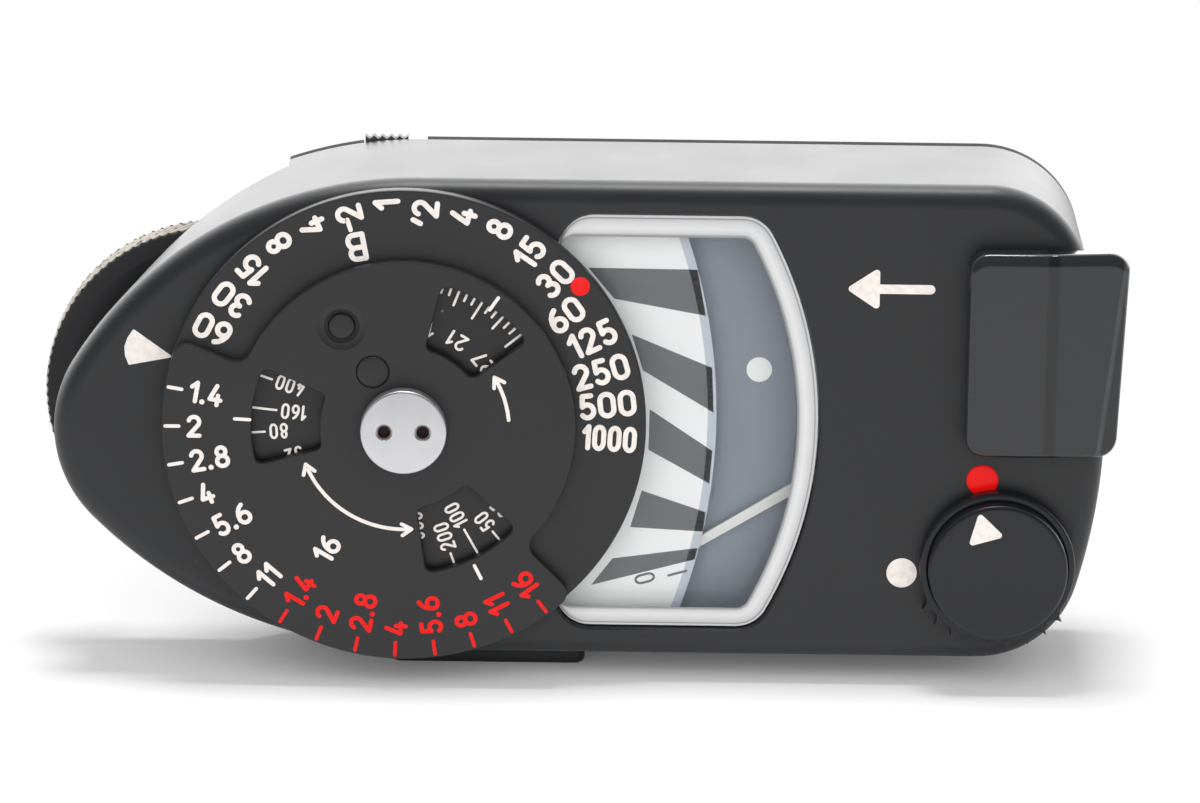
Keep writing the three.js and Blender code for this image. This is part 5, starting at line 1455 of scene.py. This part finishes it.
def addPanel():
    look, top, radius = panelLook, panelHigh.z, panelLook["edgeRadius"]
    centre = (dialX + look["edgeReach"] - radius, look["edgeY"])

    def placed(points):
        return [Vector((dialX + x, y)) for x, y in points]

    panel = slab("stripePanel", windowPlan(-look["inset"]), panelLow.z, top)
    carve(panel, "INTERSECT", rod("bowed", centre, radius, panelLow.z - past, top + past, 720))
    settle(panel, "housing", "white_plastic", "panel", "stripe_panel")
    half = math.degrees(math.asin(look["edgeHalf"] / radius))
    run = arcPoints(*centre, radius - look["edgeWidth"] / 2 + look["edgeLap"], -half, half, 60)
    stripes = Strokes("panelStripes", top, look["proud"])
    for corners in look["stripes"]:
        stripes.lay([placed(corners)])
    stripes.build("housing", "white_plastic", "stripe")
    strip = Strokes("panelEdgeStrip", top, look["proud"])
    strip.lay([band(run, look["edgeWidth"])])
    strip.build("housing", "white_plastic", "panelEdge")
    zero = Strokes("zeroMark", top)
    writeText(zero, "0", zeroText, placed([look["zero"]])[0], look["zeroTurn"], "middle")
    writeLine(zero, placed(look["zeroLine"]), zeroText["width"])
    zero.build("housing", "white_plastic", "stripe")
    x, y, dotRadius = look["dot"]
    sunk, proud = look["dotHeights"]
    profile = roundedProfile(dotRadius, slateHigh.z + sunk, slateHigh.z + proud, look["dotEdge"], 2)
    settle(turned("slateDot", profile, dialX + x, y, 48), "housing", "slate_enamel", "panel")


# Marks on the cover, the switch and the knob

markLook = {
    "index": [(-15.42, 4.2), (-18.05, 6.1), (-18.45, 5.5), (-18.66, 4.9), (-18.62, 4.25), (-18.38, 3.62)],
    "arrowTip": (29.23, 9.5), "arrowHead": (2.25, 1.52), "arrowLength": 5.93, "shaft": 0.64,
    "redDot": (38.64, -3.64, 1.07), "domeSteps": 8, "domeBase": 0.05, "domeRise": 0.2,
    "whiteDot": (33.4, -10.19, 1.02), "indexCorner": 0.08, "headCorner": 0.22, "headLap": 0.2,
}


def addCoverMarks():
    look, shaft = markLook, markLook["shaft"]
    marks = Strokes("coverMarks", roof)
    marks.lay([roundedShape([Vector((dialX + x, y)) for x, y in look["index"]], look["indexCorner"], 3)])
    tip = Vector((dialX, 0)) + Vector(look["arrowTip"])
    length, half = look["arrowHead"]
    corners = [tip, tip + Vector((length, -half)), tip + Vector((length, half))]
    end = tip + Vector((look["arrowLength"] - shaft / 2, 0))
    start = tip + Vector((length - look["headLap"], 0))
    head = roundedShape(corners, look["headCorner"])
    marks.lay([head, capsule(start, end, shaft), cap(end, shaft, 16)])
    x, y, radius = look["whiteDot"]
    marks.lay([circle(dialX + x, y, radius, 48)])
    marks.build("housing", "black_enamel", "white")
    x, y, radius = look["redDot"]
    base, rise, steps = roof + look["domeBase"], look["domeRise"], look["domeSteps"]
    profile = [(0, roof - look["domeBase"]), (radius, roof - look["domeBase"]), (radius, base)]
    for i in range(1, steps):
        angle = math.pi / 2 * i / steps
        profile.append((radius * math.cos(angle), base + rise * math.sin(angle)))
    dome = turned("redDome", profile + [(0, base + rise)], dialX + x, y, 64)
    settle(dome, "housing", "black_enamel", "redDome")


def splitTop(body, rings):
    # the loft's one top face becomes two flat fields with three strips along the crease between them; its
    # edge runs round two corners, along one row of columns, round two corners and along the other row
    corners, row = 18, 4
    count, first = len(rings[0]), (len(rings) - 1) * len(rings[0])
    shape = bmesh.new()
    shape.from_mesh(body.data)
    shape.verts.ensure_lookup_table()
    whole = [f for f in shape.faces if len(f.verts) == count and all(v.index >= first for v in f.verts)]
    bmesh.ops.delete(shape, geom=whole, context="FACES_ONLY")
    edge = [shape.verts[first + i] for i in range(count)]
    upper, lower = edge[corners:corners + row][::-1], edge[-row:]
    shape.faces.new([*edge[:corners], upper[-1], lower[-1]])
    for i in range(row - 1):
        shape.faces.new([lower[i], lower[i + 1], upper[i + 1], upper[i]])
    shape.faces.new([*edge[corners + row:-row], lower[0], upper[0]])
    bmesh.ops.recalc_face_normals(shape, faces=shape.faces)
    shape.to_mesh(body.data)
    shape.free()


def addSwitch():
    look, corner = switchLook, switchLook["corner"]
    x0, x1, y0, y1 = switchLow.x, switchHigh.x, switchLow.y, switchHigh.y
    creaseX, low, high = x1 - look["crease"], roof + look["lift"], switchHigh.z
    columns = [creaseX + off for off in look["columns"]]
    middle, half = (y0 + y1) / 2, (y1 - y0) / 2

    def topAt(x):
        # flat, then falling to the far end, with a soft crease between
        dip = look["groove"] if abs(x - creaseX) < look["grooveHalf"] else 0.0
        return high - look["drop"] * max(0.0, x - creaseX) / look["crease"] - dip

    def shaped(p, inset):
        # the far edge leans outwards to the rear, and the rear edge is rounder than the others
        share = (p.x - x0) / (x1 - x0)
        rear = max(0.0, min(1.0, (p.y - y1 + look["rearDepth"]) / look["rearDepth"]))
        lean = look["lean"] * share**4 * (p.y - middle) / half
        return Vector((p.x + lean, p.y - inset * look["rear"] * rear))

    def plan(inset):
        radius = corner - inset
        points = arcPoints(x1 - corner, y0 + corner, radius, -90, 0, 8)
        points += arcPoints(x1 - corner, y1 - corner, radius, 0, 90, 8)
        points += [Vector((x, y1 - inset)) for x in reversed(columns)]
        points += arcPoints(x0 + corner, y1 - corner, radius, 90, 180, 8)
        points += arcPoints(x0 + corner, y0 + corner, radius, 180, 270, 8)
        points += [Vector((x, y0 + inset)) for x in columns]
        return [shaped(p, inset) for p in points]

    rings = [ringAt(plan(look["foot"]), low), ringAt(plan(0), low + look["foot"])]
    for inset, fall in quarter(look["edge"], look["edgeSteps"]):
        rings.append([(p.x, p.y, topAt(p.x) - fall) for p in plan(inset)])
    body = loft("measuringSwitch", rings)
    splitTop(body, rings)
    # a facet falls away beyond a line that runs askew
    wide, clear, tall = pick(look, "facetWidth facetClear facetHeight")
    (xA, yA), (xB, yB) = [(dialX + x, y) for x, y in look["facet"]]
    ridge = [(xA, yA, topAt(xA) + clear), (xB, yB, topAt(xB) + clear)]
    outer = [(x + wide, y, topAt(x) - wide * look["facetFall"]) for x, y in ((xB, yB), (xA, yA))]
    lower = ridge + outer
    cut(body, outward(loft("facetCutter", [lower, [(x, y, z + tall) for x, y, z in lower]])))
    at, (length, width) = middleOf("switch_carriage"), look["post"]
    join(body, block("post", (at.x - length / 2, at.y - width / 2, switchLow.z),
                     (at.x + length / 2, at.y + width / 2, low + lap)))
    settle(body, "switch", "gloss_black", "switchBlack", "measuring_switch", angle=30)


knobLook = {
    "rim": 5.2, "rimHeight": 1.1, "rimEdge": 0.2, "foot": 0.12, "lift": 0.2, "face": 4.66, "edge": 0.32,
    "shaft": 1.3, "groove": 0.12, "dish": 0.06, "toothFrom": 211.0, "toothStep": 13.6, "teeth": 9,
    "flank": [(-0.5, 0.7), (-0.06, 0.5), (0.12, 0.24), (0.3, 0.09), (0.58, 0)],
    "dishFrom": (0.5, 1.2), "pointer": [(4.45, 108.2), (2.75, 138.5), (2.55, 82.0)], "pointerCorner": 0.2,
    "pointerProud": 0.05, "clear": 0.02, "brinkShare": 0.6,
}


def addKnob():
    look, at = knobLook, middleOf("range_cam")
    x, y = at.x, at.y
    low, high = roof + look["lift"], knobHigh.z
    rim, rimEdge, foot, shaft = pick(look, "rim rimEdge foot shaft")
    face, edge, groove, dish, clear = pick(look, "face edge groove dish clear")
    rimTop, dished = low + look["rimHeight"], high - dish
    profile = [(0, knobLow.z), (shaft, knobLow.z), (shaft, low), (rim - foot, low), (rim, low + foot)]
    profile += arcPairs(rim - rimEdge, rimTop - rimEdge, rimEdge, 0, 90, 5)
    profile += [(face + groove, rimTop), (face + clear, rimTop - groove), (face, rimTop)]
    profile += arcPairs(face - edge, high - edge, edge, 0, 90, 7)
    brink, basin = look["dishFrom"]
    profile += [(face - edge - brink, high - dish * look["brinkShare"])]
    profile += [(face - edge - basin, dished), (0, dished)]
    knob = turned("rangeKnob", profile, x, y, 160)
    flank = [Vector(p) for p in look["flank"]]
    cusp = [Vector((p.x, -p.y)) for p in flank] + flank[-2::-1]
    pattern = slab("toothPattern", cusp, 0, rimTop - low - foot)
    angles = [look["toothFrom"] + look["toothStep"] * i for i in range(look["teeth"])]
    places = [(*polar(rim, angle, x, y), low + clear) for angle in angles]
    points = pointsObject("knobTeeth", places, angles)
    teeth = repeater.run(points, {"Pattern": pattern, "Finish": finishes["knobBlack"]})
    drop(pattern)
    join(knob, teeth)
    settle(knob, "range", "gloss_black", "knobBlack", "range_knob")
    pointer = Strokes("knobPointer", high - dish / 2, look["pointerProud"])
    corners = [polar(reach, degrees, x, y) for reach, degrees in look["pointer"]]
    pointer.lay([roundedShape(corners, look["pointerCorner"])])
    pointer.build("range", "gloss_black", "white")


# Finishes of the nodes that stay as the CAD has them.
nodeFinishes = {
    "brass": "wheel_bush dial_bush upper_bridge lower_bridge hairspring coupling_pinion dial_gear "
             "switch_carriage",
    "steel": "meter_yoke return_spring detent_spring key_spring wheel_shaft pin_spring dial_spindle "
             "friction_washer",
    "magnet": "core_magnet battery_check_key", "copper": "contact_leaf battery_contact moving_coil",
    "laminate": "contact_block circuit_board", "ceramic": "photocell series_resistor",
    "moulding": "battery_chamber", "nickel": "button_cell", "whiteMoulding": "range_cam calibration_pot",
    "slate": "scale_plate", "needleWhite": "needle",
}


def dressNodes():
    for finish, names in nodeFinishes.items():
        for name in names.split():
            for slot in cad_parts[name].material_slots:
                slot.material = finishes[finish]


# Floor, light and world

stageLook = {
    "side": 900, "shade": (236, 236, 236), "blotch": (232, 232, 232), "blotchSize": 120, "lift": 0.06,
    "fadeFrom": 5, "fadeTo": -70,
}
lamps = [{"name": "overheadBox", "at": (-11, 380, 6), "size": (130, 90), "power": 0.98, "aimHeight": 10}]


def addStage():
    look, side, y = stageLook, stageLook["side"], hoodLow.y - hoodLook["proud"]
    corners = [(-side, y, -side), (-side, y, side), (side, y, side), (side, y, -side)]
    floor = newObject("floor", corners, [(0, 1, 2, 3)])
    graph, place = newGraph("paleFloor")
    paths = graph.add("LightPath", output="Is Camera Ray")
    shade = graph.blend(graph.noise(place, look["blotchSize"]), tone(*look["shade"]), tone(*look["blotch"]))
    matt = graph.add("BsdfDiffuse", None, {"Color": shade})
    glow = graph.add("Emission", None, {"Color": (1, 1, 1, 1), "Strength": 1.0})
    # far behind the object the floor goes over into the white background
    depth = graph.along(place, "Z")
    lift = graph.span(depth, look["fadeTo"] * mm, look["fadeFrom"] * mm, 1.0, look["lift"])
    seen = graph.add("MixShader", None, {0: paths * lift, 1: matt, 2: glow})
    behind = graph.add("NewGeometry", output="Backfacing")
    clear = graph.add("BsdfTransparent")
    graph.finish(graph.add("MixShader", None, {0: behind, 1: seen, 2: clear}))
    floor.data.materials.append(graph.owner)


def addLamps():
    for lamp in lamps:
        aim = Vector((view["aim"][0], 0, lamp["aimHeight"])) * mm
        data = bpy.data.lights.new(lamp["name"], "AREA")
        data.shape = "RECTANGLE"
        data.size, data.size_y = lamp["size"][0] * mm, lamp["size"][1] * mm
        data.energy = lamp["power"]
        ob = linked(lamp["name"], data)
        ob.location = Vector(lamp["at"]) * mm
        ob.rotation_euler = (aim - ob.location).to_track_quat("-Z", "Y").to_euler()
        ob.visible_camera = False


worldLook = {
    "back": 4.7, "front": 0.06, "mirrorSpan": (-0.92, 0.3), "sideLight": 0.5, "frontLight": 2.2,
    "softSpan": (0.1, 0.9),
}


def addWorld():
    look, world = worldLook, bpy.data.worlds.new("studio")
    bpy.context.scene.world = world
    graph = Graph(world, "ShaderNodeOutputWorld")
    direction = graph.add("TexCoord", output="Generated")
    frontness = graph.along(direction, "Z")
    camera = graph.add("LightPath", output="Is Camera Ray")
    glossy = graph.add("LightPath", output="Is Glossy Ray")
    through = graph.add("LightPath", output="Is Transmission Ray")
    bright = graph.maths("MAXIMUM", camera, through)
    # polished and satin faces mirror a bright room behind the object and a dark one in front of it
    mirrored = graph.span(frontness, *look["mirrorSpan"], look["back"], look["front"])
    soft = graph.span(frontness, *look["softSpan"], look["sideLight"], look["frontLight"])
    lit = glossy * mirrored + (1 - glossy) * soft
    level = bright + (1 - bright) * lit
    graph.finish(graph.add("Background", None, {"Color": (1, 1, 1, 1), "Strength": level}))


addCover()
addBasePlate()
addNosePlate()
addFoot()
addScrews()
print("shells made")
addWheel()
addHood()
addLid()
print("wheel, hood and lid made")
addShutterDisc()
addApertureDisc()
addNut()
addDialFigures()
print("dial made")
addGlass()
addPanel()
addCoverMarks()
addSwitch()
addKnob()
print("window, switch and knob made")
dressNodes()
addStage()
addLamps()
addWorld()
bpy.context.scene.view_settings.view_transform = "Standard"
print("stage and light made")
